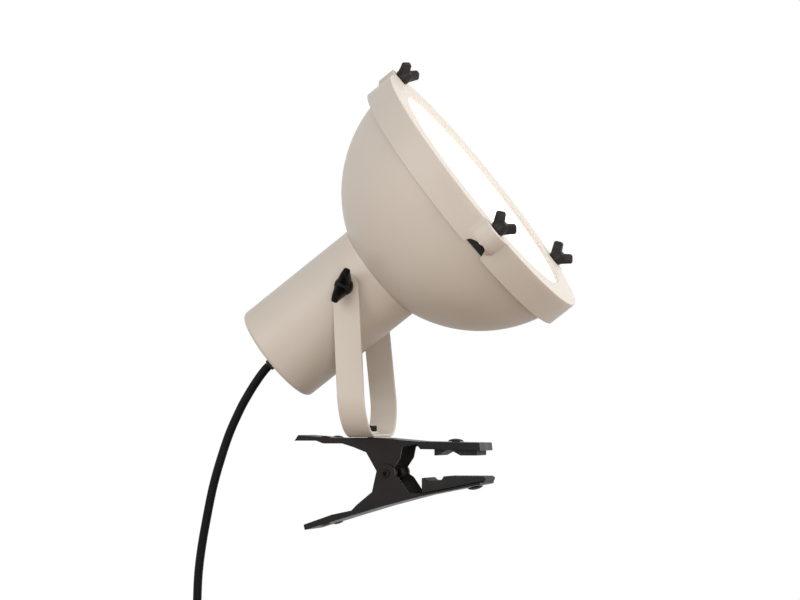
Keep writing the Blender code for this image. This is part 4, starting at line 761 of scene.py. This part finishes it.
def front_ring():
    """Deep ring with an inward ledge and three hollow bosses, each over a mouse hole.

    Its radius is a smooth maximum of the band's circle and the boss's circle, both seen from
    the ring's axis. Behind its ridge a boss shrinks into the band along a power curve. The
    rear edge runs round a half circle behind each boss.
    """
    turn, from_boss = ring_turns()
    rear = RING_REAR + np.sqrt(np.maximum(MOUSE_HOLE**2 - (RING_RADIUS * from_boss) ** 2, 0))
    ridge = RING_FRONT - BOSS_RIDGE

    def band(height, wall):
        """Radius all round at a height, drawn in by the wall for the inner side."""
        fade = np.clip((ridge - height) / BOSS_FADE, 0, 1) ** BOSS_TAPER
        boss = BOSS_RADIUS - (BOSS_RADIUS - RING_RADIUS + BOSS_CENTRE) * fade - wall
        across = BOSS_CENTRE * np.sin(from_boss)
        bump = BOSS_CENTRE * np.cos(from_boss) + np.sqrt(np.maximum(boss**2 - across**2, 0))
        plain = RING_RADIUS - wall
        return (bump + plain + np.hypot(bump - plain, BOSS_FILLET)) / 2

    def wall_rows(wall, front):
        """Rows from the rear edge to the ridge, and on to a height near the front."""
        behind = [rear + (ridge - rear) * t for t in np.linspace(0, 1, 9)[:-1]]
        ahead = [ridge + (front - ridge) * t for t in np.linspace(0, 1, 4)]
        return [(band(height, wall), height) for height in behind + ahead]

    rows = wall_rows(0.0, RING_FRONT - RING_EDGE)
    face = band(RING_FRONT, 0.0)
    for a in np.radians([22.5, 45, 67.5, 90]):
        height = RING_FRONT - RING_EDGE * (1 - math.sin(a))
        rows.append((face - RING_EDGE * (1 - math.cos(a)), height))
    inner = RING_OPENING + LEDGE_EDGE
    rows += [((face - RING_EDGE) * (1 - t) + inner * t, RING_FRONT) for t in (0.3, 0.65, 1.0)]
    for a in np.radians([30, 60, 90]):
        height = RING_FRONT - LEDGE_EDGE * (1 - math.cos(a))
        rows.append((inner - LEDGE_EDGE * math.sin(a), height))
    rows.append((RING_OPENING, RING_FRONT - RING_FLANGE))
    rows += reversed(wall_rows(RING_WALL, RING_FRONT - RING_FLANGE))
    piece("ring", round_ring(rows, turn), "head", PAINT, ["front_ring"], 40)


def gap_shade_ring():
    """Rubber seal between bowl and ring, a little deeper in than the ring's rear edge.

    Its inner side follows the bowl's sphere. It reaches further back along an S-curve behind each
    boss, where it closes the mouse hole with painted shade.
    """
    turn, from_boss = ring_turns()
    away = np.abs(RING_RADIUS * from_boss) - MOUSE_HOLE
    rear = RING_REAR + SHADE_RING_SET_IN + SHADE_RING_RECESS * eased(away / SHADE_RING_RECESS)
    front = BOWL_RIM - BOWL_WALL - SHADE_RING_LAP
    outer = RING_RADIUS - RING_WALL - SHADE_RING_GAP

    def beside_bowl(height):
        """Radius of the bowl's sphere at a height, plus the gap."""
        return np.sqrt(BOWL_RADIUS**2 - (BOWL_CENTRE - height) ** 2) + SHADE_RING_GAP

    rows = [(beside_bowl(rear), rear), (outer - SHADE_RING_EDGE, rear), (outer, rear + SHADE_RING_EDGE),
            (outer, front), (beside_bowl(front), front)]
    # A dark sheet of painted shade: it darkens the gap behind the ring and fills the mouse holes,
    # where only shade falls.
    piece("gap_shade_ring", round_ring(rows, turn), "head", RUBBER, (), 40)


def bowl_curve(radius, steps, end):
    """Sphere from the bowl's bend to a height, as (radius, height)."""
    start = math.degrees(math.asin(BOWL_BEND / radius))
    last = math.degrees(math.acos((BOWL_CENTRE - end) / radius))
    return arc((0.0, BOWL_CENTRE), radius, start - 90, last - 90, steps)


def lug(angle):
    """A flat tab for one stud, its outer end a half circle and its root inside the lip."""
    root = LUG_CENTRE - LIP_INNER + LUG_ROOT
    outline = np.vstack([arc((0.0, 0.0), LUG_RADIUS, 90, 270, 16),
                         [(root, -LUG_RADIUS), (root, LUG_RADIUS)]])
    grid = slab(outline, BOWL_RIM - BOWL_WALL + LUG_GAP, BOWL_RIM - LUG_GAP, LUG_EDGE)
    turn = math.radians(angle)
    out = np.array([math.cos(turn), math.sin(turn)])
    side = np.array([-math.sin(turn), math.cos(turn)])
    flat = (grid[..., :1] - LUG_CENTRE) * out + grid[..., 1:2] * side
    return surface(in_head(np.concatenate([flat, grid[..., 2:]], -1)))


def bowl():
    """Spun sphere with a flat floor, a turned-in lip and three lugs for the studs."""
    rim_inner = BOWL_RIM - BOWL_WALL
    outside = bowl_curve(BOWL_RADIUS, 48, BOWL_RIM - BOWL_RIM_EDGE)
    inside = bowl_curve(BOWL_RADIUS - BOWL_WALL, 40, rim_inner)[::-1]
    bottom = outside[0, 1]
    rim = outside[-1, 0] - BOWL_RIM_EDGE * 0.9
    profile = [(BOWL_HOLE, bottom), *outside, (rim, BOWL_RIM), (LIP_INNER, BOWL_RIM),
               (LIP_INNER, rim_inner), *inside, (BOWL_HOLE, bottom + BOWL_WALL)]
    parts = [turned(profile, BOWL_FACETS, in_head), *map(lug, BOSS_ANGLES.values())]
    piece("bowl", joined(parts), "head", PAINT, ["bowl_shell"], 30)


def tail():
    """Round housing behind the bowl, with a soft rear edge and a boss on each side.

    Its front edge lies where its cylinder meets the bowl's sphere.
    """
    front = BOWL_CENTRE - math.sqrt((BOWL_RADIUS + TAIL_GAP) ** 2 - TAIL_RADIUS**2)
    flange = BOWL_FLOOR - TAIL_FLANGE_GAP
    inner = TAIL_RADIUS - TAIL_WALL
    rear_edge = arc((TAIL_RADIUS - TAIL_EDGE, TAIL_REAR + TAIL_EDGE), TAIL_EDGE, -90, 0, 10)
    profile = [(GLAND_HOLE, TAIL_REAR), (TAIL_RADIUS * 0.6, TAIL_REAR), *rear_edge]
    profile += [(TAIL_RADIUS, height) for height in np.linspace(TAIL_REAR + 8, front - 1, 8)]
    profile += [(TAIL_RADIUS, front - TAIL_GAP), (TAIL_RADIUS - TAIL_LIP, front - TAIL_LIP / 2),
                (BOWL_BEND, flange), (BOWL_HOLE, flange), (BOWL_HOLE, flange - TAIL_WALL),
                (inner, flange - TAIL_WALL), (inner, TAIL_REAR + TAIL_WALL),
                (GLAND_HOLE, TAIL_REAR + TAIL_WALL)]
    start, end = PIVOT_BOSS_Y - PIVOT_BOSS_DEPTH, PIVOT_BOSS_Y
    edge, chamfer = PIVOT_BOSS_RADIUS, PIVOT_BOSS_EDGE
    boss = [(PIVOT_HOLE, start), (edge, start), (edge, end - chamfer),
            (edge - chamfer / 3, end - chamfer / 3), (edge - chamfer, end), (PIVOT_HOLE, end)]
    parts = [turned(profile, TAIL_FACETS, in_head)]
    parts += [turned(boss, SMALL_FACETS, beside_pivot(side)) for side in (-1, 1)]
    piece("tail", joined(parts), "head", PAINT, ["tail_housing"], 30)


def glass():
    """Thick frosted disc with ground edges."""
    front, back = GLASS_FRONT, GLASS_FRONT - GLASS
    inset = GLASS_RADIUS - GLASS_EDGE
    profile = [(0.0, front), *[(GLASS_RADIUS * t, front) for t in (0.25, 0.5, 0.75)],
               (inset, front), (GLASS_RADIUS, front - GLASS_EDGE),
               (GLASS_RADIUS, back + GLASS_EDGE), (inset, back),
               (GLASS_RADIUS * 0.5, back), (0.0, back)]
    mesh = turned(profile, GLASS_FACETS, in_head, ring=False)
    piece("glass", mesh, "head", FROSTED, ["diffuser_glass"], 20)


# -------- yoke

def yoke():
    """Flat strip bent to a U, with round ends and softened edges, its legs raked back.

    Its centre line is a leg, an arc, the base, an arc and a leg. Above the pivot its half
    width follows a circle. The rake moves each point back by a share of its height.
    """
    half = STRAP_WIDTH / 2
    middle = LEG_INNER_Y + STRAP / 2
    bend = YOKE_BEND + STRAP / 2
    base = box_mm("yoke_strap")[0, 2] - PIVOT[2] / MM
    centre = (YOKE_FLAT_HALF, base + STRAP + YOKE_BEND)
    leg_end = np.array([middle, -LEG_STRAIGHT])
    knee = leg_end - centre
    start = math.degrees(math.atan2(knee[1], knee[0]) - math.acos(bend / np.hypot(*knee)))
    curve = arc(centre, bend, start, -90, 20)
    ends = np.radians([89, 84, 78, 70, 60, 50, 40, 30, 20, 10, 0])
    line = [(middle, half * math.sin(a)) for a in ends]
    line += [(middle, z) for z in (-4, -8, -LEG_STRAIGHT)]
    line += [leg_end + (curve[0] - leg_end) * t for t in (0.25, 0.5, 0.75)]
    line += [*curve, *[(y, curve[-1][1]) for y in np.linspace(YOKE_FLAT_HALF, 0, 6)[1:]]]
    line = np.array(line)
    line = np.vstack([line, (line[:-1] * [-1, 1])[::-1]])
    widths = np.sqrt(half**2 - np.maximum(line[:, 1], 0) ** 2)
    rows = []
    for (y, z), width, (ty, tz) in zip(line, widths, unit(np.gradient(line, axis=0))):
        section = rounded_rectangle(width, STRAP / 2, min(STRAP_EDGE, width * 0.9), 4)
        up = z - section[:, 1] * ty
        back = up * math.tan(YOKE_RAKE)
        rows.append(np.stack([section[:, 0] - back, y + section[:, 1] * tz, up], 1))
    mesh = surface(PIVOT + np.array(rows) * MM)
    piece("yoke_band", mesh, "yoke", PAINT, ["yoke_strap"], 50)


# -------- nuts and knobs

def ear_tip(reach, height):
    """An ear's blunt end: two small arcs with a flat between them, square to its lean."""
    lean = math.radians(EAR_LEAN)
    half = EAR_TIP - EAR_CORNER
    out = half * 0.6
    middle = np.array([reach + out * math.cos(lean), height + out * math.sin(lean)])
    across = half * np.array([math.sin(lean), -math.cos(lean)])
    return [*arc(middle + across, EAR_CORNER, EAR_SWEEP[0], EAR_LEAN, 7),
            *arc(middle - across, EAR_CORNER, EAR_LEAN, EAR_SWEEP[1], 7)]


def winged(foot, hub_radius, hub_height, tip_reach, tip_height, wing, place):
    """A domed hub with two fat ears that rise from its foot in a V, standing on Z = 0.

    The hub is a turned profile that goes on from the foot's. An ear is a flat outline given
    thickness, which grows along an S-curve of its reach towards the hub.
    """
    hub = [*foot, (hub_radius - HUB_EDGE, 0.0), (hub_radius, HUB_EDGE),
           *[(hub_radius * out, hub_height * up) for out, up in HUB_DOME]]
    outline = np.array([(EAR_FOOT, EAR_FOOT), (hub_radius * 0.9, EAR_FOOT),
                        *ear_tip(tip_reach, tip_height), (EAR_FOOT, hub_height * 0.95)])
    grid = slab(outline, -wing / 2, wing / 2, wing * EAR_EDGE)
    flare = 1 + EAR_FLARE * (1 - eased((grid[..., 0] - 0.4 * hub_radius) / hub_radius))
    parts = [turned(hub, SMALL_FACETS, place, ring=False)]
    for side in (-1, 1):
        ear = np.stack([grid[..., 0] * side, grid[..., 2] * flare, grid[..., 1]], -1)
        parts.append(surface(place(ear)))
    return joined(parts)


def on_stud(name):
    """Places a shape drawn about Z on one of the ring's studs, turned about it."""
    radial = math.radians(BOSS_ANGLES[name])
    turn = math.radians(BOSS_ANGLES[name] + NUT_TURNS[name])
    u = np.array([math.cos(turn), math.sin(turn), 0.0])
    w = np.array([0.0, 0.0, 1.0])
    axes = np.stack([u, np.cross(w, u), w])
    seat = np.array([-STUD_CENTRE * math.cos(radial), -STUD_CENTRE * math.sin(radial),
                     RING_FRONT + NUT_GAP])
    return lambda points: in_head(seat + np.asarray(points) @ axes)


def wing_nuts():
    """Three nuts on the ring's studs."""
    for name in BOSS_ANGLES:
        mesh = winged([(0.0, 0.0)], NUT_HUB_RADIUS, NUT_HUB_HEIGHT, NUT_TIP_REACH, NUT_TIP_HEIGHT,
                      NUT_WING, on_stud(name))
        # The nuts' black is lightened as painted light.
        piece("nut_" + name, mesh, "nut_" + name, NUT_PLASTIC_PAINTED_LIGHT,
              ["wing_nut_" + name], 35)


def tilt_knobs():
    """A winged knob outside each leg of the yoke, its shank through the leg and the boss."""
    shank = PIVOT_HOLE - SHANK_GAP
    length = KNOB_SEAT_Y - PIVOT_BOSS_Y + PIVOT_BOSS_DEPTH + SHANK_PAST_BOSS
    foot = [(0.0, -length), (shank, -length), (shank, 0.0)]
    for name, side in (("near", -1), ("far", 1)):
        mesh = winged(foot, KNOB_HUB_RADIUS, KNOB_HUB_HEIGHT, KNOB_TIP_REACH, KNOB_TIP_HEIGHT,
                      KNOB_WING, beside_pivot(side, KNOB_TURN, KNOB_SEAT_Y))
        # The knobs' black is darkened as painted shade.
        piece("knob_" + name, mesh, "knob_" + name, KNOB_PLASTIC_PAINTED_SHADE,
              ["side_knob_" + name], 35)


# -------- clip

def rivet():
    """Tubular rivet across the clip: a rolled head at each end round a deep hollow."""
    low, high = box_mm("clip_pin")
    edge, end, _ = (high - low) / 2
    bottom = end - RIVET_HOLLOW_DEPTH
    seat = end - RIVET_HEAD
    half = [(0.0, bottom), (RIVET_HOLLOW, bottom), (RIVET_HOLLOW, end - RIVET_MOUTH),
            (RIVET_HOLLOW + RIVET_MOUTH, end), (edge - RIVET_EDGE, end),
            (edge - RIVET_EDGE / 3, end - RIVET_ROLL), (edge, end - RIVET_EDGE), (edge, seat),
            (RIVET_SHANK, seat)]
    profile = [*half, *[(radius, -height) for radius, height in reversed(half)]]
    centred = moved((low + high) / 2)

    def across(points):
        """Places a shape drawn about Z across the clip."""
        return centred(points[..., [0, 2, 1]])

    mesh = turned(profile, RIVET_FACETS, across, ring=False)
    piece("rivet", mesh, "clip", STEEL, ["clip_pin"], 40)


def clip():
    """Plates, pads, rivet, spring and swivel fixing, with their edges eased."""
    softened("clip_upper", "upper_half", "clip", STEEL)
    softened("clip_lower", "lower_half", "clip_arm", STEEL)
    softened("upper_pad", "pad_above", "clip", RUBBER)
    softened("lower_pad", "pad_below", "clip_arm", RUBBER)
    softened("base_nut", "swivel_nut", "clip", YELLOW_ZINC)
    rivet()
    finer("base_screw", "swivel_screw", "clip", ZINC, 40)
    finer("clip_spring", "spring", "clip", STEEL, 70)
    for side in ("near", "far"):
        finer("spring_leg_" + side, "spring_foot_" + side, "clip_arm", STEEL, 70)


# -------- lead and what is on it

def coil_turns(centre):
    """Turns wound through a square of cells, each beside the one before.

    The angle runs on from the coil's left side, downwards. At a third of a turn before each
    full one the lead moves to the next cell, every time a little earlier than on the turn
    before, so that the cell it moves to is free.
    """
    turns = len(COIL_CELLS)
    angle = np.linspace(0, 360.0 * turns, COIL_TURN_STEPS * turns + 1)
    cells = np.array(COIL_CELLS, float) - 1  # counted from the middle one
    cell = cells[0] + 0 * angle[:, None]
    for k, step in enumerate(np.diff(cells, axis=0)):
        share = eased((angle - MOVE_START - MOVE_EVERY * k) / MOVE_TAKES)
        cell = cell + step * share[:, None]
    radius = COIL_RADIUS + cell[:, 0] * COIL_PITCH
    turn = np.radians(180 + angle)
    spot = np.stack([radius * np.cos(turn), cell[:, 1] * COIL_PITCH, radius * np.sin(turn)], 1)
    return centre + spot


def lead_line(exit_point):
    """The lead's centreline in millimetres, from the strain relief to the plug.

    A smooth curve hangs down to the switch. Below it the lead moves along an S-curve to the
    coil's outer cell. After the coil it drops to the plug, moves back to the middle along
    another S-curve, and bulges by a squared sine.
    """
    hanging = smooth_line([exit_point, *[(x, 0.0, z) for x, z in LEAD_ROUTE]], LEAD_STEP)
    coil = coil_turns(box_mm("cord_coil").mean(axis=0))
    heights = np.arange(hanging[-1][2] - LEAD_STEP, coil[0][2] + 1, -LEAD_STEP)
    share = eased((LEAD_SHIFT_START - heights) / LEAD_SHIFT_RUN)
    shifting = hanging[-1] + share[:, None] * (coil[0] - hanging[-1])
    shifting[:, 2] = heights
    plug_top = box_mm("plug_body")[1, 2]
    end = np.array([box_mm("cord_tail").mean(axis=0)[0], 0.0, plug_top + LEAD_END_GAP])
    t = np.linspace(0, 1, round((coil[-1][2] - end[2]) / LEAD_STEP) + 1)[1:, None]
    drop = coil[-1] + (end - coil[-1]) * t
    drop[:, 1:2] = coil[-1][1] * (1 - eased(t * (1 + LEAD_DROP_WAIT) - LEAD_DROP_WAIT))
    drop[:, 0:1] -= LEAD_BULGE * np.sin(np.pi * t) ** 2
    return np.vstack([hanging, shifting, coil, drop])


def strain_relief():
    """Rubber sleeve through the tail's rear wall, ribbed and tapered down to the lead.

    Its nose is a straight taper plus a cosine whose hollows are cut off flat.
    """
    inside = TAIL_REAR + TAIL_WALL + GLAND_GAP
    outside = TAIL_REAR - GLAND_GAP
    nose = outside - GLAND_NOSE + GLAND_GAP
    bore = LEAD_RADIUS + GLAND_GAP
    profile = [(bore, inside + GLAND_INSIDE), (GLAND_NECK, inside + GLAND_INSIDE),
               (GLAND_NECK + 0.5, inside + GLAND_LIP), (GLAND_FLANGE, inside + GLAND_LIP),
               (GLAND_FLANGE, inside), (GLAND_NECK, inside), (GLAND_NECK, outside),
               *[(GLAND_FLANGE + out, outside + up) for out, up in GLAND_FACE_CURVE]]
    start = outside - GLAND_FACE
    heights = np.linspace(start, nose + 0.25, 34)
    down = (start - heights) / (start - nose)
    root = GLAND_NECK + GLAND_ROOT
    taper = root - (root - bore - GLAND_TIP) * down
    ribs = GLAND_RIB_DEPTH * np.maximum(np.cos(down * 2 * np.pi * GLAND_RIBS), GLAND_RIB_FLOOR)
    profile += zip(np.minimum(taper + ribs, GLAND_FLANGE - 0.6), heights)
    profile += [(bore + GLAND_TIP / 2, nose), (bore, nose)]
    mesh = turned(profile, SMALL_FACETS, lambda points: in_head(points + [GLAND_DROP, 0.0, 0.0]))
    made = piece("strain_relief", mesh, "head", RUBBER, ["cord_gland"], 50)
    return made, in_head([GLAND_DROP, 0.0, nose - 0.5])


def switch():
    """Two half shells and a rocker on the lead.

    A shell is rows of one rounded rectangle, drawn in along a quarter circle towards its
    face. The front one goes on to the rocker's window and down its well.
    """
    low, high = box_mm("switch_shell_front")
    half_x, _, half_z = (high - low) / 2
    on_lead = moved((low + high) / 2 * [1, 0, 1])
    depth = -low[1]
    skin = rounded_rectangle(half_x, half_z, SWITCH_CORNER, 10)
    window = rounded_rectangle(ROCKER_WIDTH / 2 + ROCKER_GAPS[0],
                               ROCKER_LENGTH / 2 + ROCKER_GAPS[1], WINDOW_CORNER, 10)
    rows = [(skin, SWITCH_SEAM), (skin, depth - SWITCH_EDGE)]
    for a in np.radians([15, 30, 45, 60, 75, 90]):
        inset = SWITCH_EDGE * (1 - math.cos(a))
        rows.append((inset_outline(skin, inset), depth - SWITCH_EDGE * (1 - math.sin(a))))
    front = rows + [(inset_outline(window, -WINDOW_LIP), depth), (window, depth - WINDOW_EDGE),
                    (window, depth - SWITCH_WELL)]
    back = rows + [(inset_outline(skin, SWITCH_EDGE + 2), depth)]
    made = []
    for name, outlines, facing in (("front", front, -1), ("back", back, 1)):
        grid = np.array([np.insert(outline, 1, facing * y, axis=1) for outline, y in outlines])
        made.append(piece("switch_" + name, surface(on_lead(grid)), "yoke",
                          PLASTIC, ["switch_shell_" + name], 35))
    return [*made, softened("switch_rocker", "rocker_button", "rocker", PLASTIC)]


def tie():
    """Flat strap round the bundle: a thin section carried round a rounded square."""
    low, high = box_mm("coil_tie")
    half = (high[2] - low[2] - TIE) / 2
    line = rounded_rectangle(half, half, TIE_CORNER, 8)
    along = unit(np.roll(line, -1, axis=0) - np.roll(line, 1, axis=0))
    out = np.stack([along[:, 1], -along[:, 0]], 1)
    section = rounded_rectangle(TIE_WIDTH / 2, TIE / 2, TIE_EDGE, 3)
    band = line[:, None] + section[:, 1:] * out[:, None]
    across = np.broadcast_to(section[:, :1], (*band.shape[:2], 1))
    mesh = surface(moved((low + high) / 2)(np.concatenate([across, band], axis=-1)), along=True)
    return piece("tie", mesh, "yoke", PLASTIC, ["coil_tie"], 40)


def plug():
    """Flat two-pin plug with a ribbed collar on the lead and sleeved pins.

    The body is a rounded outline given thickness, and the collar a taper plus a cosine.
    """
    low, high = box_mm("plug_body")
    half_x, half_y, _ = (high - low) / 2
    on_lead = moved([(low[0] + high[0]) / 2, 0.0, 0.0])
    top = high[2]
    outline = rounded(np.array([
        (-PLUG_NECK, top), (PLUG_NECK, top), (half_y, top - PLUG_SHOULDER),
        (half_y, low[2]), (-half_y, low[2]), (-half_y, top - PLUG_SHOULDER),
    ]), PLUG_CORNER, 6)
    grid = slab(outline, -half_x, half_x, PLUG_EDGE, 6)
    body = surface(on_lead(grid[..., [2, 0, 1]]))
    heights = np.linspace(top + PLUG_COLLAR, top - COLLAR_SUNK, 30)
    down = (top + PLUG_COLLAR - heights) / PLUG_COLLAR
    ribs = COLLAR_RIB_DEPTH * np.cos(down * 2 * np.pi * COLLAR_RIBS)
    bore = LEAD_RADIUS + COLLAR_GAP
    outside = LEAD_RADIUS + COLLAR_TIP + COLLAR_GROWS * down + ribs
    collar = [(bore, heights[0]), *zip(outside, heights), (bore, heights[-1])]
    shell = joined([body, turned(collar, PIN_FACETS, on_lead)])
    made = [piece("plug", shell, "yoke", PLASTIC, ["plug_body"], 35)]
    for name in ("near", "far"):
        low, high = box_mm("plug_pin_" + name)
        radius = (high[0] - low[0]) / 2
        length = high[2] - low[2]
        shape = [(0.0, 0.0), (radius, 0.0), *[(radius * out, up - length) for out, up in PIN_TIP]]
        inner, outer, end = radius - SLEEVE_SUNK, radius + SLEEVE_PROUD, -SLEEVE - SLEEVE_SUNK
        sleeve = [(inner, 0.0), (outer, 0.0), (outer, -SLEEVE), (radius - SLEEVE_TAPER, end),
                  (inner, end)]
        at_pin = moved([*(low + high)[:2] / 2, high[2]])
        made.append(piece("pin_" + name, turned(shape, PIN_FACETS, at_pin, ring=False), "yoke",
                          NICKEL, ["plug_pin_" + name], 35))
        made.append(piece("pin_sleeve_" + name, turned(sleeve, PIN_FACETS, at_pin), "yoke",
                          PLASTIC, (), 35))
    return made


def lead():
    """One continuous lead from the strain relief through the switch and coil to the plug."""
    relief, exit_point = strain_relief()
    on_it = [relief, *switch(), tie(), *plug()]
    line = lead_line(exit_point / MM) * MM
    mesh = surface(tube(line, LEAD_RADIUS * MM, LEAD_FACETS))
    cord = piece("lead", mesh, None, LEAD,
                 ["cord_upper", "cord_middle", "cord_coil", "cord_tail"], 60)
    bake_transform(cord)


# -------- surroundings

def seen_directly(tree):
    """One where a ray is seen by the camera, mirrored or let through; zero where it lights."""
    path = add(tree, "ShaderNodeLightPath").outputs
    seen = math_node(tree, "MAXIMUM", path["Is Camera Ray"], path["Is Glossy Ray"])
    return math_node(tree, "MAXIMUM", seen, path["Is Transmission Ray"])


def shared(tree, share, first, second):
    """The second shader by a share, and the first by the rest."""
    return add(tree, "ShaderNodeMixShader", {0: share, 1: first, 2: second}).outputs[0]


def world():
    """White to the eye, and a softer light for the object."""
    made = bpy.data.worlds.new("white_room")
    made.use_nodes = True
    tree = made.node_tree
    tree.nodes.clear()
    light = add(tree, "ShaderNodeBackground", {"Color": WARM_WHITE, "Strength": WORLD_LIGHT})
    white = add(tree, "ShaderNodeBackground", {"Color": WHITE, "Strength": 1.0})
    both = shared(tree, seen_directly(tree), light.outputs[0], white.outputs[0])
    tree.links.new(both, add(tree, "ShaderNodeOutputWorld").inputs["Surface"])
    bpy.context.scene.world = made


def floor_paper(centre):
    """Matt paper that fades to white with distance from a centre, and lights by a warm bounce."""
    made = bpy.data.materials.new("floor_paper")
    made.use_nodes = True
    tree = made.node_tree
    paper = tree.nodes["Principled BSDF"]
    paper.inputs["Base Color"].default_value = FLOOR_PAPER
    paper.inputs["Roughness"].default_value = 0.9
    paper.inputs["Specular IOR Level"].default_value = 0.1
    place = add(tree, "ShaderNodeTexCoord").outputs["Object"]
    away = math_node(tree, "SUBTRACT", place, tuple(centre), kind="ShaderNodeVectorMath")
    level = math_node(tree, "MULTIPLY", away, (1.0, 1.0, 0.0), kind="ShaderNodeVectorMath")
    far = add(tree, "ShaderNodeVectorMath", {0: level}, operation="LENGTH").outputs["Value"]
    start, end = FLOOR_FADE
    fade = add(tree, "ShaderNodeMapRange", {"Value": far, "From Min": start, "From Max": end},
               interpolation_type="SMOOTHSTEP").outputs[0]
    seen = seen_directly(tree)
    white = add(tree, "ShaderNodeEmission", {"Color": WHITE, "Strength": 1.0})
    faded = shared(tree, math_node(tree, "MULTIPLY", fade, seen), paper.outputs[0],
                   white.outputs[0])
    bounce = add(tree, "ShaderNodeBsdfDiffuse", {"Color": FLOOR_BOUNCE})
    tree.links.new(shared(tree, seen, bounce.outputs[0], faded),
                   tree.nodes["Material Output"].inputs["Surface"])
    return made


def floor():
    """Pale disc just under the plug: rings of points about the pivot."""
    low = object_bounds()[0]
    centre = PIVOT * [1.0, 1.0, 0.0]
    turn = np.linspace(2 * np.pi, 0, FLOOR_FACETS, endpoint=False)
    rings = np.linspace(0, FLOOR_RADIUS, 12)[:, None]
    flat = np.stack([rings * np.cos(turn), rings * np.sin(turn), 0 * rings * turn], -1)
    made = linked("floor", grid_mesh(flat + centre + [0.0, 0.0, low.z - FLOOR_GAP]))
    made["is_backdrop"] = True
    made.data.materials.append(floor_paper(centre))


def lamp(name, azimuth, elevation, distance, size, power, colour):
    """Round area light that faces the head and isn't itself seen."""
    data = bpy.data.lights.new(name, "AREA")
    data.shape = "DISK"
    data.size = size
    data.energy = power
    data.color = colour
    facing_head(data, azimuth, elevation, distance).visible_camera = False


add_camera()
dress_solids()
front_ring()
gap_shade_ring()
bowl()
tail()
glass()
yoke()
wing_nuts()
tilt_knobs()
clip()
lead()
world()
floor()
for lamp_name, settings in LAMPS.items():
    lamp(lamp_name, *settings)
